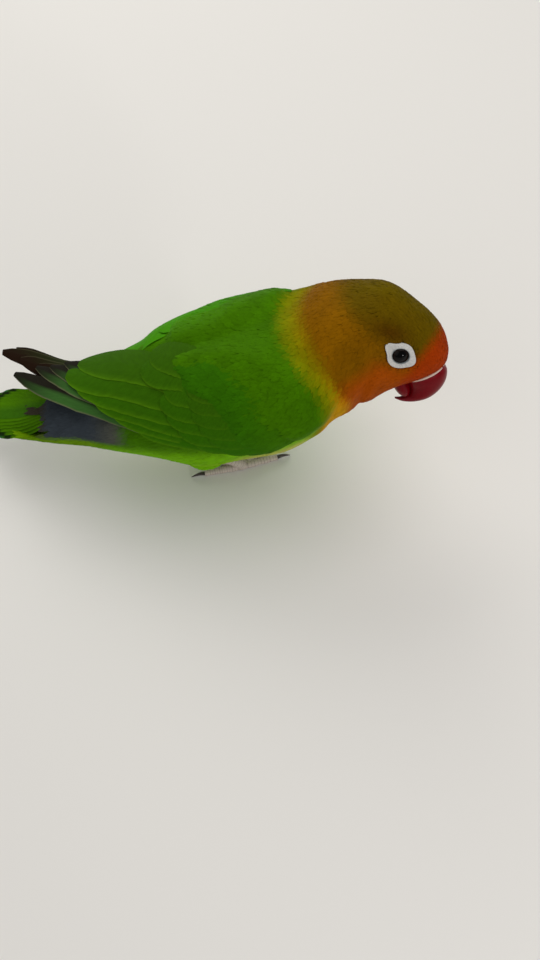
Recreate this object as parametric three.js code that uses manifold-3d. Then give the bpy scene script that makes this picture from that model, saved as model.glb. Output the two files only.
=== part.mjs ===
// Fischer's lovebird, life size, standing low with its head turned and tilted to one side.
// Millimetres. X runs towards the head, Y to the bird's left, Z up, and the feet stand on Z = 0.
import * as THREE from "three";
import { mergeVertices } from "three/addons/utils/BufferGeometryUtils.js";
import Module from "manifold-3d";

const wasm = await Module();
wasm.setup();

const clearance = 0.3; // gap kept between neighbouring pieces
const smallestDetail = 0.03; // slivers under this size are smoothed away where pieces are joined
const deg = Math.PI / 180;

// Place and pose of the head: the midpoint between the eyes, and its turn, nose-down tilt and roll
const headCentre = new THREE.Vector3(35.1, -0.1, 55.2);
const headTurn = turnFrame(-17.5, 20.8, -34.1);

// Sections of the body from the tail root to the breast: place along X, height of the centre,
// nose-down tilt, half width, height above the centre and depth below it
const bodySections = [
  { x: -64, y: -2.0, z: 22.0, tilt: -6, wide: 10.4, up: 6.2, down: 8.0 },
  { x: -56, y: -2.0, z: 24.0, tilt: -9, wide: 11.8, up: 7.2, down: 11.0 },
  { x: -45, y: -1.7, z: 27.0, tilt: -11, wide: 15.2, up: 9.6, down: 15.6 },
  { x: -30, y: -1.2, z: 30.8, tilt: -12, wide: 19.4, up: 14.6, down: 20.4 },
  { x: -14, y: -0.4, z: 34.2, tilt: -14, wide: 22.0, up: 18.4, down: 22.6 },
  { x: 0, y: 0, z: 38.0, tilt: -17, wide: 22.4, up: 19.4, down: 22.8 },
  { x: 11, y: 0.6, z: 42.4, tilt: -16, wide: 20.8, up: 18.8, down: 18.2 },
];
// Sections of the neck, also with a sideways place, a turn and a roll
const neckSections = [
  { x: 17.5, y: 1.4, z: 46.9, turn: -4, tilt: -10, roll: -10, wide: 20.9, up: 19.6, down: 16.4 },
  { x: 25.0, y: 1.0, z: 51.2, turn: -10, tilt: -6, roll: -22, wide: 18.4, up: 18.2, down: 19.0 },
];
// Sections of the head in its own frame, ending on the plane of the bill's base
const headSections = [
  { x: -5.5, z: -1.6, tilt: -15, wide: 14.4, up: 14.8, down: 18.4 },
  { x: 0.5, z: -1.8, tilt: -3, wide: 11.9, up: 13.6, down: 15.8 },
  { x: 5.2, z: -2.4, tilt: 13, wide: 10.5, up: 12.0, down: 12.6 },
  { x: 8.5, z: -3.3, tilt: 27, wide: 8.7, up: 9.5, down: 9.7 },
  { x: 10.1, z: -4.0, tilt: 36, wide: 7.0, up: 7.4, down: 7.5 },
  { x: 10.7, z: -4.4, tilt: 39, wide: 5.4, up: 5.9, down: 5.9 },
];

// Eyes, in the head's frame
const eyeRadius = 3.4;
const eyeSide = 12.2; // from the head's middle plane to the front of the eye
const eyeAxisForward = 10; // degrees that the eye looks ahead of straight sideways
const ringInner = 2.45;
const ringOuter = 4.15;
const ringCorner = 1.15; // how much further the bare ring reaches at its two corners

// Upper bill as pairs of points in the head's middle plane, ridge and cutting edge, with the half width
const upperBill = [
  { ridge: [14.25, -0.05], edge: [7.95, -7.85], wide: 5.1 },
  { ridge: [16.2, -1.0], edge: [8.6, -8.9], wide: 5.0 },
  { ridge: [17.5, -3.6], edge: [9.4, -9.9], wide: 4.5 },
  { ridge: [17.5, -7.0], edge: [10.0, -10.9], wide: 3.8 },
  { ridge: [16.2, -10.4], edge: [10.3, -12.0], wide: 3.0 },
  { ridge: [13.6, -13.2], edge: [10.0, -13.2], wide: 2.0 },
  { ridge: [10.6, -14.9], edge: [9.2, -14.3], wide: 1.1 },
  { ridge: [8.1, -15.4], edge: [7.9, -15.0], wide: 0.35 },
];
const lowerBill = [
  { ridge: [7.2, -8.6], edge: [4.4, -12.1], wide: 4.2 },
  { ridge: [8.0, -9.6], edge: [5.8, -13.0], wide: 3.9 },
  { ridge: [8.9, -10.8], edge: [7.3, -13.4], wide: 3.0 },
  { ridge: [9.2, -11.9], edge: [8.5, -13.3], wide: 1.9 },
];
const billCount = 16; // points round the bill
const cereDepth = 1.3;
const cereLip = 0.15; // how far the cere stands out over the bill
const nostrilRadius = 0.4;
const nostrilDepth = 0.9;
const nostrilAngle = 27; // degrees round the cere from the bill's ridge

// Form of the tail from its tip to the rump's end, and how far its solid core runs back in it
const tailSections = [
  { x: -92, y: -0.2, z: 16.4, tilt: -11, wide: 5.6, up: 0.6, down: 0.6 },
  { x: -86, y: -0.6, z: 17.6, tilt: -12, wide: 7.2, up: 0.8, down: 1.0 },
  { x: -78, y: -1.2, z: 19.2, tilt: -12, wide: 8.4, up: 1.7, down: 2.4 },
  { x: -70, y: -1.8, z: 20.8, tilt: -10, wide: 9.6, up: 4.0, down: 5.2 },
  { x: -64, y: -2.0, z: 22.0, tilt: -6, wide: 10.2, up: 5.9, down: 7.7 },
];
const tailCoreEnd = 1.85; // place in the list above where the solid core ends under the coverts
// Frame of the tail's fan: where the shafts meet, and the slope of the fan
const tailRoot = new THREE.Vector3(-66, -1.9, 21.3);
const tailFrame = turnFrame(-4, -11.5, 0);
const tailLength = 27; // from the fan's root to the tip of the longest feather
const tailPairs = 6;
const tailFan = { rootStep: 0.7, tipStep: 0.95, drop: 0.34, shorter: 0.3, half: 2.9, thick: 0.6 };
const covertRise = 0.5; // height of a tail covert over the form
const tailCoverts = [
  { count: 5, middle: 0, spread: 30, root: -66.5, tip: -81, shorter: 2.4, half: 2.9 },
  { count: 5, middle: 180, spread: 30, root: -66.5, tip: -84, shorter: 2.8, half: 3.0 },
];

// Form that each wing lies over: the body's, but running straight back past the rump. The two wings'
// tips lie to the left of the rump's middle.
const wingRun = {
  left: [
    { x: -84, y: 10.5, z: 28.6, tilt: -2, wide: 9.0, up: 2.6, down: 5 },
    { x: -74, y: 7.2, z: 28.0, tilt: -3, wide: 10.0, up: 3.0, down: 6 },
    { x: -62, y: 2.0, z: 26.0, tilt: -6, wide: 10.6, up: 4.2, down: 9 },
    { x: -50, y: -1.2, z: 26.8, tilt: -10, wide: 13.0, up: 7.0, down: 13 },
    { x: -38, y: -1.6, z: 28.8, tilt: -11, wide: 15.6, up: 11.2, down: 16 },
  ],
  right: [
    { x: -84, y: -1, z: 24.0, tilt: -4, wide: 18, up: 6.4, down: 8.5 },
    { x: -74, y: -1.5, z: 25.6, tilt: -5, wide: 16, up: 7.0, down: 9.2 },
    { x: -62, y: -1.4, z: 26.5, tilt: -7, wide: 12.8, up: 7.8, down: 11 },
    { x: -50, y: -0.9, z: 27.1, tilt: -10, wide: 14.6, up: 9.6, down: 13.4 },
  ],
};
// Core of each folded wing, as places along X with the angles from the back's midline to its upper
// and lower edges, and its thickness
const wingUnder = 0.6; // height of the core's underside above the form
const wingFront = [
  { x: 17, top: 66, low: 80, thick: 0.8 },
  { x: 15, top: 56, low: 86, thick: 1.6 },
  { x: 9, top: 40, low: 92, thick: 2.2 },
];
const wingRear = {
  left: [
    { x: 0, top: 28, low: 98, thick: 2.4 },
    { x: -12, top: 22, low: 99, thick: 2.1 },
    { x: -24, top: 26, low: 98, thick: 1.2 },
    { x: -32, top: 40, low: 94, thick: 0.5 },
  ],
  right: [
    { x: 0, top: 20, low: 97, thick: 2.4 },
    { x: -12, top: 6, low: 94, thick: 2.1 },
    { x: -24, top: 2, low: 84, thick: 1.2 },
    { x: -32, top: 2, low: 70, thick: 0.5 },
  ],
};
// Tiers of wing feathers. Heights are those of the shaft's upper side above the form, at the root and
// beyond, and each feather of a tier climbs over the one before it.
const wingTiers = {
  primaries: { half: 3.1, taper: 0.62, thick: [0.7, 0.6], tilt: 0, height: [1.45, 1.25], climb: 0.3 },
  secondaries: { half: 4.6, taper: 0.7, thick: [0.8, 0.6], tilt: 0.12, height: [1.9, 2.2], climb: 0 },
  coverts: { half: 4.3, taper: 0.55, thick: [0.8, 0.6], tilt: 0.12, height: [2.1, 2.7], climb: 0 },
};
// Places of the feathers from the lowest of a tier to its highest, as X and angle: the first and the
// last root, each tip, and how far the lines between bow out
const wingPlaces = {
  left: {
    primaries: {
      roots: [[-18, 92], [-20, 74]],
      tips: [[-77, 36], [-80.3, 18], [-75, 10], [-69, 12]],
      bow: -10,
    },
    secondaries: {
      roots: [[-12, 86], [-14, 40]],
      tips: [[-37, 92], [-43, 86], [-49, 80], [-53, 72], [-54, 64]],
      bow: 0,
    },
    coverts: {
      roots: [[-1, 84], [-4, 42]],
      tips: [[-21, 90], [-25, 80], [-28, 69], [-30, 58], [-31, 48]],
      bow: 0,
    },
  },
  right: {
    primaries: {
      roots: [[-18, 82], [-20, 62]],
      tips: [[-75.5, -20], [-69, -31], [-64.5, -32], [-60, -36]],
      bow: 3,
    },
    secondaries: {
      roots: [[-12, 80], [-15, 14]],
      tips: [[-38, 61], [-44, 43], [-50, 24], [-55.5, 4], [-57.5, -18], [-53.5, -36]],
      bow: 0,
    },
    coverts: {
      roots: [[-1, 80], [-4, 32]],
      tips: [[-20, 80], [-25, 66], [-28, 50], [-30, 33], [-31, 15]],
      bow: 0,
    },
  },
};

// Legs, given for the left one: the feathered thigh in the flank, and the shank down to the palm
const thighPath = [
  { at: [-20, 9.5, 21], radius: 8.6 },
  { at: [-19.5, 11, 16], radius: 7.8 },
  { at: [-18, 10.8, 12], radius: 5.6 },
  { at: [-16.3, 10, 9.3], radius: 3.2 },
];
const shankPath = [
  { at: [-16.1, 9.9, 8.9], radius: 1.6 },
  { at: [-13, 9.6, 5.6], radius: 1.35 },
  { at: [-10, 9.3, 3.0], radius: 1.6 },
  { at: [-8.8, 9.3, 1.6], radius: 1.5 },
];
const palm = new THREE.Vector3(-9.2, 9.3, 1.3);
const soleHeight = 0.9; // height of a toe's axis over the floor
const toeRadius = 1.2;
const toeTipRadius = 0.85;
// Two toes ahead and two behind: direction from straight ahead towards the outside, length, joints
const toes = [
  { turn: -17, length: 12, joints: 3 },
  { turn: -40, length: 9, joints: 2 },
  { turn: 168, length: 12, joints: 4 },
  { turn: -168, length: 7.5, joints: 2 },
];
const clawLength = 4.2;
const clawRadius = 0.72;

// Frame of a section: a rotation that takes the x axis along the body
function turnFrame(turn, tilt, roll) {
  return new THREE.Quaternion().setFromEuler(new THREE.Euler(roll * deg, tilt * deg, turn * deg, "ZYX"));
}

function fromHead(x, y, z) {
  return new THREE.Vector3(x, y, z).applyQuaternion(headTurn).add(headCentre);
}

function straightSection(s) {
  const frame = turnFrame(s.turn ?? 0, s.tilt, s.roll ?? 0);
  return { ...s, centre: new THREE.Vector3(s.x, s.y, s.z), frame };
}

function headSection(s) {
  return { ...s, centre: fromHead(s.x, 0, s.z), frame: headTurn.clone().multiply(turnFrame(0, s.tilt, 0)) };
}

const skin = [
  ...bodySections.map(straightSection),
  ...neckSections.map(straightSection),
  ...headSections.map(headSection),
];
const neckStart = bodySections.length - 1;
const headStart = bodySections.length + neckSections.length - 0.45;
function wingForm(name) {
  return [...wingRun[name], ...bodySections.slice(3), neckSections[0]].map(straightSection);
}
const tailForm = tailSections.map(straightSection);

function smooth(a, b, c, d, t) {
  return b + 0.5 * t * (c - a + t * (2 * a - 5 * b + 4 * c - d + t * (3 * (b - c) + d - a)));
}

// Section at any place along a list of sections, place 1.5 lying midway from the second to the third
function sectionAt(list, place) {
  const i = Math.min(Math.max(Math.floor(place), 0), list.length - 2);
  const t = place - i;
  const four = [list[Math.max(i - 1, 0)], list[i], list[i + 1], list[Math.min(i + 2, list.length - 1)]];
  const blend = (pick) => smooth(pick(four[0]), pick(four[1]), pick(four[2]), pick(four[3]), t);
  return {
    centre: new THREE.Vector3(blend((s) => s.centre.x), blend((s) => s.centre.y), blend((s) => s.centre.z)),
    frame: four[1].frame.clone().slerp(four[2].frame, t),
    wide: blend((s) => s.wide),
    up: blend((s) => s.up),
    down: blend((s) => s.down),
  };
}

function sectionAtX(list, x) {
  let i = 0;
  while (i < list.length - 2 && list[i + 1].centre.x < x) i++;
  const from = list[i].centre.x;
  return sectionAt(list, i + (x - from) / (list[i + 1].centre.x - from));
}

// Point on a section, the angle counted from the top towards the bird's left
function pointOn(section, angle, offset) {
  const c = Math.cos(angle);
  const high = (c > 0 ? section.up : section.down) + offset;
  const local = new THREE.Vector3(0, (section.wide + offset) * Math.sin(angle), high * c);
  return local.applyQuaternion(section.frame).add(section.centre);
}

function ringOn(section, count, offset) {
  return Array.from({ length: count }, (_, i) => pointOn(section, (i / count) * 2 * Math.PI, offset));
}

// Closed skin over a row of rings of equal count, with a fan on each end
function loft(rings) {
  const count = rings[0].length;
  const position = [];
  const index = [];
  for (const ring of rings) {
    for (const p of ring) position.push(p.x, p.y, p.z);
  }
  for (let r = 0; r < rings.length - 1; r++) {
    for (let i = 0; i < count; i++) {
      const a = r * count + i;
      const b = r * count + ((i + 1) % count);
      index.push(a, b, a + count, b, b + count, a + count);
    }
  }
  addFan(position, index, rings[0], 0, true);
  addFan(position, index, rings[rings.length - 1], (rings.length - 1) * count, false);
  const geometry = new THREE.BufferGeometry();
  geometry.setAttribute("position", new THREE.Float32BufferAttribute(position, 3));
  geometry.setIndex(index);
  return outward(geometry);
}

function addFan(position, index, ring, first, flip) {
  const middle = new THREE.Vector3();
  for (const p of ring) middle.add(p);
  middle.divideScalar(ring.length);
  const hub = position.length / 3;
  position.push(middle.x, middle.y, middle.z);
  for (let i = 0; i < ring.length; i++) {
    const j = (i + 1) % ring.length;
    if (flip) index.push(hub, first + j, first + i);
    else index.push(hub, first + i, first + j);
  }
}

// Turns a closed surface so that its faces point out
function outward(geometry) {
  const p = geometry.attributes.position;
  const index = geometry.index.array;
  const corner = (i) => new THREE.Vector3().fromBufferAttribute(p, index[i]);
  let volume = 0;
  for (let i = 0; i < index.length; i += 3) volume += corner(i).dot(corner(i + 1).cross(corner(i + 2)));
  if (volume < 0) {
    for (let i = 0; i < index.length; i += 3) [index[i], index[i + 1]] = [index[i + 1], index[i]];
  }
  return geometry;
}

function toSolid(geometry) {
  const copy = geometry.clone();
  copy.deleteAttribute("normal");
  copy.deleteAttribute("uv");
  const merged = mergeVertices(copy, 1e-5);
  return new wasm.Manifold(
    new wasm.Mesh({
      numProp: 3,
      vertProperties: new Float32Array(merged.attributes.position.array),
      triVerts: new Uint32Array(merged.index.array),
    }),
  );
}

// Largest closed surface of a solid, as a geometry
function toGeometry(solid) {
  const pieces = solid.asOriginal().simplify(smallestDetail).decompose();
  pieces.sort((a, b) => b.volume() - a.volume());
  const mesh = pieces[0].getMesh();
  const geometry = new THREE.BufferGeometry();
  geometry.setAttribute("position", new THREE.Float32BufferAttribute(mesh.vertProperties, 3));
  geometry.setIndex(Array.from(mesh.triVerts));
  return geometry;
}

function joined(geometries) {
  return geometries.map(toSolid).reduce((all, one) => all.add(one));
}

// Loft along part of a list of sections
function loftAlong(list, from, to, steps, count, offset = 0) {
  const rings = [];
  for (let i = 0; i <= steps; i++) {
    rings.push(ringOn(sectionAt(list, from + ((to - from) * i) / steps), count, offset));
  }
  return loft(rings);
}

const bird = new THREE.Group();

function finish(color, roughness) {
  return new THREE.MeshStandardMaterial({ color, roughness, metalness: 0 });
}

function addPiece(name, geometry, material) {
  const mesh = new THREE.Mesh(geometry, material);
  mesh.name = name;
  bird.add(mesh);
  return mesh;
}

const sides = [
  { name: "left", sign: 1 },
  { name: "right", sign: -1 },
];

// Body, neck and head
const around = 28;
const torsoForm = (offset) => loftAlong(skin, 0, neckStart, 22, around, offset);
const neckForm = (offset) => loftAlong(skin, neckStart + 0.035, headStart - 0.045, 7, around, offset);
const headForm = (offset) => loftAlong(skin, headStart, skin.length - 1, 16, around, offset);
const torsoRoom = toSolid(torsoForm(clearance));
const neckRoom = toSolid(neckForm(clearance));
const headRoom = toSolid(headForm(clearance));
addPiece("torso", torsoForm(0), finish(0x4a9a14, 0.8));
addPiece("neck", neckForm(0), finish(0xb8860e, 0.8));
let headSolid = toSolid(headForm(0));

// Eyes with the bare ring of skin round each
function eyeFrame(sign) {
  const turn = turnFrame(sign * (90 - eyeAxisForward), 0, 0);
  return headTurn.clone().multiply(turn);
}

function ringReach(angle) {
  return ringOuter + ringCorner * Math.max(0, Math.cos(2 * angle)) ** 3;
}

// Rows of the ring from its hidden back round the outside to the lid's lip and back again
const ringRows = [
  { from: "outer", grow: 0, along: -1.9 },
  { from: "outer", grow: 0, along: -0.95 },
  { from: "outer", grow: -0.45, along: -0.5 },
  { from: "inner", grow: 0.75, along: -0.2 },
  { from: "inner", grow: 0, along: -0.5 },
  { from: "inner", grow: 1.15, along: -1.9 },
];
// Rows of the hollow in the head for the ball behind the ring
const socketRows = [
  { along: 4, radius: null },
  { along: -2.2, radius: null },
  { along: -2.25, radius: 3.9 },
  { along: -4.6, radius: 3.9 },
  { along: -6.2, radius: 2.9 },
  { along: -7.3, radius: 1.0 },
];

const ringCount = 20;
function eyeRingGeometry() {
  const count = ringCount;
  const position = [];
  const index = [];
  for (const row of ringRows) {
    for (let i = 0; i < count; i++) {
      const angle = (i / count) * 2 * Math.PI;
      const radius = (row.from === "inner" ? ringInner : ringReach(angle)) + row.grow;
      position.push(row.along, radius * Math.cos(angle), radius * Math.sin(angle));
    }
  }
  for (let r = 0; r < ringRows.length; r++) {
    const next = (r + 1) % ringRows.length;
    for (let i = 0; i < count; i++) {
      const j = (i + 1) % count;
      const a = r * count + i;
      const b = r * count + j;
      index.push(a, b, next * count + i, b, next * count + j, next * count + i);
    }
  }
  const geometry = new THREE.BufferGeometry();
  geometry.setAttribute("position", new THREE.Float32BufferAttribute(position, 3));
  geometry.setIndex(index);
  return outward(geometry);
}

function socketGeometry() {
  const rings = socketRows.map(({ along, radius }) =>
    Array.from({ length: ringCount }, (_, i) => {
      const angle = (i / ringCount) * 2 * Math.PI;
      const out = radius ?? ringReach(angle) + clearance;
      return new THREE.Vector3(along, out * Math.cos(angle), out * Math.sin(angle));
    }),
  );
  return loft(rings);
}

for (const side of sides) {
  const place = new THREE.Matrix4().compose(
    fromHead(0, side.sign * eyeSide, 0),
    eyeFrame(side.sign),
    new THREE.Vector3(1, 1, side.sign),
  );
  const placed = (geometry) => outward(geometry.applyMatrix4(place));
  headSolid = headSolid.subtract(toSolid(placed(socketGeometry())));
  addPiece(`eye_ring_${side.name}`, placed(eyeRingGeometry()), finish(0xdcdcd6, 0.6));
  const ball = new THREE.SphereGeometry(eyeRadius, 18, 12).translate(-eyeRadius, 0, 0);
  addPiece(`eye_${side.name}`, placed(ball), finish(0x0a0806, 0.1));
}
addPiece("head", toGeometry(headSolid), finish(0x84700f, 0.8));

// Point round the bill, the angle counted from its ridge
function billPoint(section, offset, angle) {
  const [rx, rz] = section.ridge;
  const [ex, ez] = section.edge;
  const half = Math.hypot(rx - ex, rz - ez) / 2;
  const high = ((half + offset) * Math.cos(angle)) / (2 * half);
  const across = (section.wide + offset) * Math.sin(angle);
  return fromHead((rx + ex) / 2 + (rx - ex) * high, across, (rz + ez) / 2 + (rz - ez) * high);
}

function billRing(section, offset, count) {
  return Array.from({ length: count }, (_, i) => billPoint(section, offset, (i / count) * 2 * Math.PI));
}

function billGeometry(list, offset) {
  return loft(list.map((section) => billRing(section, offset, billCount)));
}

const baseTilt = headSections[headSections.length - 1].tilt;
const baseForward = new THREE.Vector3(Math.cos(baseTilt * deg), 0, -Math.sin(baseTilt * deg));
function slid(section, along) {
  const move = ([x, z]) => [x + baseForward.x * along, z + baseForward.z * along];
  return { ...section, ridge: move(section.ridge), edge: move(section.edge) };
}
const cereEnds = [clearance, clearance + cereDepth].map((along) => slid(upperBill[0], along));
let cere = toSolid(loft(cereEnds.map((section) => billRing(section, cereLip, billCount))));
for (const side of sides) {
  const middle = slid(upperBill[0], clearance + cereDepth / 2);
  const rim = billPoint(middle, cereLip, side.sign * nostrilAngle * deg);
  const out = billPoint(middle, cereLip + 1, side.sign * nostrilAngle * deg).sub(rim).normalize();
  const pit = new THREE.CylinderGeometry(nostrilRadius, nostrilRadius, 2 * nostrilDepth, 8);
  pit.applyQuaternion(new THREE.Quaternion().setFromUnitVectors(new THREE.Vector3(0, 1, 0), out));
  cere = cere.subtract(toSolid(pit.translate(rim.x, rim.y, rim.z)));
}
addPiece("cere", toGeometry(cere), finish(0xe6cfc4, 0.5));
const billStart = cereDepth + 2 * clearance;
const upperSlid = [slid(upperBill[0], billStart), ...upperBill.slice(1)];
addPiece("bill_upper", billGeometry(upperSlid, 0), finish(0xb3223c, 0.25));
const lowerSlid = [slid(lowerBill[0], clearance), ...lowerBill.slice(1)];
const lowerSolid = toSolid(billGeometry(lowerSlid, 0));
const billRoom = toSolid(billGeometry([slid(upperBill[0], 0), ...upperSlid], clearance));
addPiece("bill_lower", toGeometry(lowerSolid.subtract(billRoom).subtract(headRoom)), finish(0xa81f38, 0.3));

// Share of a feather's full width at a place along it, rounding off from the place where it tapers
function vaneWidth(t, taper) {
  const base = Math.min(1, 0.6 + 1.2 * t);
  const tip = t < taper ? 1 : Math.sqrt(1 - ((t - taper) / (1.02 - taper)) ** 2);
  return base * tip;
}

// Thin closed blade: at each place along it three points above and three below, with a raised shaft
const vanePlaces = [0, 0.25, 0.5, 0.72, 0.88, 1];
function vaneGeometry({ at, half, taper, thick, tilt }) {
  const rings = vanePlaces.map((t) => {
    const width = half * vaneWidth(t, taper);
    const under = THREE.MathUtils.lerp(thick[0], thick[1], t);
    const upper = [-width, 0, width].map((u) => at(t, u, tilt * u + (u === 0 ? 0.1 : 0)));
    const lower = [width, 0, -width].map((u) => at(t, u, tilt * u - under));
    return [...upper, ...lower];
  });
  return loft(rings);
}

// Function that gives a feather's points over a form: place along it, distance across it, height.
// Its root and tip are places on the form, as X and the angle from the top.
function featherOver(form, sign, root, tip, bow, heightAt) {
  return (t, across, high) => {
    const x = THREE.MathUtils.lerp(root[0], tip[0], t);
    const angle = (THREE.MathUtils.lerp(root[1], tip[1], t) + 4 * bow * t * (1 - t)) * deg;
    const section = sectionAtX(form, x);
    const radius = (section.wide + section.up) / 2;
    const back = tip[0] - root[0];
    const round = (tip[1] - root[1]) * deg * radius;
    const length = Math.hypot(back, round);
    const placed = sectionAtX(form, x + (across * round) / length);
    const turned = angle - (across * back) / (length * radius);
    return pointOn(placed, sign * turned, heightAt(t) + high);
  };
}

// Core of the wing, a thin shell over the flank that carries the feathers
function wingShell(side, form) {
  const edges = [...wingFront, ...wingRear[side.name]];
  const steps = 11;
  const across = 6;
  const rings = [];
  for (let i = 0; i <= steps; i++) {
    const place = (i / steps) * (edges.length - 1);
    const k = Math.min(Math.floor(place), edges.length - 2);
    const four = [k - 1, k, k + 1, k + 2].map((n) => edges[Math.min(Math.max(n, 0), edges.length - 1)]);
    const pick = (key) => smooth(...four.map((o) => o[key]), place - k);
    const section = sectionAtX(form, pick("x"));
    const angleAt = (j) => side.sign * THREE.MathUtils.lerp(pick("top"), pick("low"), j / across) * deg;
    const upper = [];
    const lower = [];
    for (let j = 0; j <= across; j++) {
      const round = 0.4 + 0.6 * Math.sin((Math.PI * j) / across) ** 0.5;
      upper.push(pointOn(section, angleAt(j), wingUnder + pick("thick") * round));
      lower.unshift(pointOn(section, angleAt(j), wingUnder));
    }
    rings.push([...upper, ...lower]);
  }
  return loft(rings);
}

function wingFeathers(side, form) {
  const feathers = [];
  for (const [name, { roots, tips, bow }] of Object.entries(wingPlaces[side.name])) {
    const tier = wingTiers[name];
    for (const [i, tip] of tips.entries()) {
      const share = i / (tips.length - 1);
      const root = [0, 1].map((k) => THREE.MathUtils.lerp(roots[0][k], roots[1][k], share));
      const [low, high] = tier.height;
      const heightAt = (t) => THREE.MathUtils.lerp(low, high + tier.climb * i, Math.min(1, 2.5 * t));
      feathers.push(vaneGeometry({ ...tier, at: featherOver(form, side.sign, root, tip, bow, heightAt) }));
    }
  }
  return feathers;
}

for (const side of sides) {
  const form = wingForm(side.name);
  const whole = joined([wingShell(side, form), ...wingFeathers(side, form)]);
  const wing = toGeometry(whole.subtract(torsoRoom).subtract(neckRoom));
  addPiece(`wing_${side.name}`, wing, finish(0x2f7a10, 0.8));
}

// Tail: a fan of overlapping feathers, the middle pair on top, between upper and lower coverts
function tailFeathers() {
  const { rootStep, tipStep, drop, shorter, half, thick } = tailFan;
  const feathers = [];
  for (const side of sides) {
    for (let i = 0; i < tailPairs; i++) {
      const length = tailLength - shorter * i * i;
      const level = thick - drop * (i + (side.sign > 0 ? 0 : 0.5));
      const at = (t, u, high) => {
        const across = side.sign * ((i + 0.5) * THREE.MathUtils.lerp(rootStep, tipStep, t) + u);
        const place = new THREE.Vector3(-length * t, across, level + high);
        return place.applyQuaternion(tailFrame).add(tailRoot);
      };
      feathers.push(vaneGeometry({ at, half, taper: 0.7, thick: [thick, thick], tilt: 0 }));
    }
  }
  return feathers;
}

function tailCovertFeathers({ count, middle, spread, root, tip, shorter, half }) {
  return Array.from({ length: count }, (_, i) => {
    const off = i - (count - 1) / 2;
    const from = [root, middle + off * spread * 0.9];
    const to = [tip + shorter * Math.abs(off), middle + off * spread];
    const heightAt = (t) => covertRise * Math.min(1, 2 * t) + 0.1 * (i % 2);
    const at = featherOver(tailForm, 1, from, to, 0, heightAt);
    return vaneGeometry({ at, half, taper: 0.5, thick: [0.8, 0.6], tilt: 0 });
  });
}

const tailSolid = joined([
  loftAlong(tailForm, tailCoreEnd, tailForm.length - 1.06, 5, 18),
  ...tailFeathers(),
  ...tailCoverts.flatMap(tailCovertFeathers),
]);
addPiece("tail", toGeometry(tailSolid), finish(0x55803a, 0.8));

// Tube of round rings along a curve, its radius given by a function of the place along it
function tube(points, radiusAt, count, steps) {
  const curve = new THREE.CatmullRomCurve3(points);
  const rings = [];
  for (let i = 0; i <= steps; i++) {
    const along = curve.getTangent(i / steps);
    const across = new THREE.Vector3(0, 1, 0).cross(along).normalize();
    const up = along.clone().cross(across);
    const centre = curve.getPoint(i / steps);
    const radius = radiusAt(i / steps);
    rings.push(
      Array.from({ length: count }, (_, j) => {
        const angle = ((j + 0.5) / count) * 2 * Math.PI;
        const out = across.clone().multiplyScalar(Math.cos(angle)).addScaledVector(up, Math.sin(angle));
        return centre.clone().addScaledVector(out, radius);
      }),
    );
  }
  return loft(rings);
}

function pathTube(path, count, steps, sign) {
  const points = path.map(({ at }) => new THREE.Vector3(at[0], at[1] * sign, at[2]));
  const radiusAt = (t) => {
    const k = Math.min(Math.floor(t * (path.length - 1)), path.length - 2);
    return THREE.MathUtils.lerp(path[k].radius, path[k + 1].radius, t * (path.length - 1) - k);
  };
  return tube(points, radiusAt, count, steps);
}

// Point on a toe's line, a given distance from the palm and height over the floor
function toePoint(toe, sign, reach, height) {
  const angle = toe.turn * deg;
  return new THREE.Vector3(
    palm.x + reach * Math.cos(angle),
    (palm.y + reach * Math.sin(angle)) * sign,
    height,
  );
}

function toeGeometry(toe, sign) {
  const lift = (t) => soleHeight + 0.35 * (1 - t);
  const points = [0, 0.35, 0.7, 1].map((t) => toePoint(toe, sign, toe.length * t, lift(t)));
  const radiusAt = (t) => {
    const taper = THREE.MathUtils.lerp(toeRadius, toeTipRadius, t);
    return taper * (1 + 0.1 * Math.cos(2 * Math.PI * toe.joints * t));
  };
  return tube(points, radiusAt, 7, toe.joints * 3);
}

function clawGeometry(toe, sign) {
  const start = toe.length + clearance;
  const rise = [0, 0.25, -0.05, -0.75];
  const points = rise.map((up, i) => toePoint(toe, sign, start + (clawLength * i) / 3, soleHeight + up));
  return tube(points, (t) => THREE.MathUtils.lerp(clawRadius, 0.12, t ** 1.3), 6, 5);
}

// Legs: the feathered thigh stands out of the flank, and the scaly shank leaves it below
const underFloor = toSolid(new THREE.BoxGeometry(80, 60, 10).translate(0, 0, -5));
for (const side of sides) {
  const thigh = toSolid(pathTube(thighPath, 16, 8, side.sign)).subtract(torsoRoom);
  addPiece(`leg_${side.name}`, toGeometry(thigh), finish(0x8fae1e, 0.8));
  const shank = pathTube(shankPath, 8, 6, side.sign);
  const foot = joined([shank, ...toes.map((toe) => toeGeometry(toe, side.sign))]).subtract(underFloor);
  addPiece(`foot_${side.name}`, toGeometry(foot), finish(0x9a8f8c, 0.8));
  for (const [i, toe] of toes.entries()) {
    addPiece(`claw_${side.name}_${i + 1}`, clawGeometry(toe, side.sign), finish(0x2c2624, 0.4));
  }
}

// The finished bird stands with the middle of its outline on the origin
const reach = new THREE.Box3().setFromObject(bird);
const middle = reach.getCenter(new THREE.Vector3());
bird.position.set(-middle.x, -middle.y, -reach.min.z);

export default bird;
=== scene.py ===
import math
import bpy
import numpy as np
from mathutils import Euler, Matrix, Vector, kdtree


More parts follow.
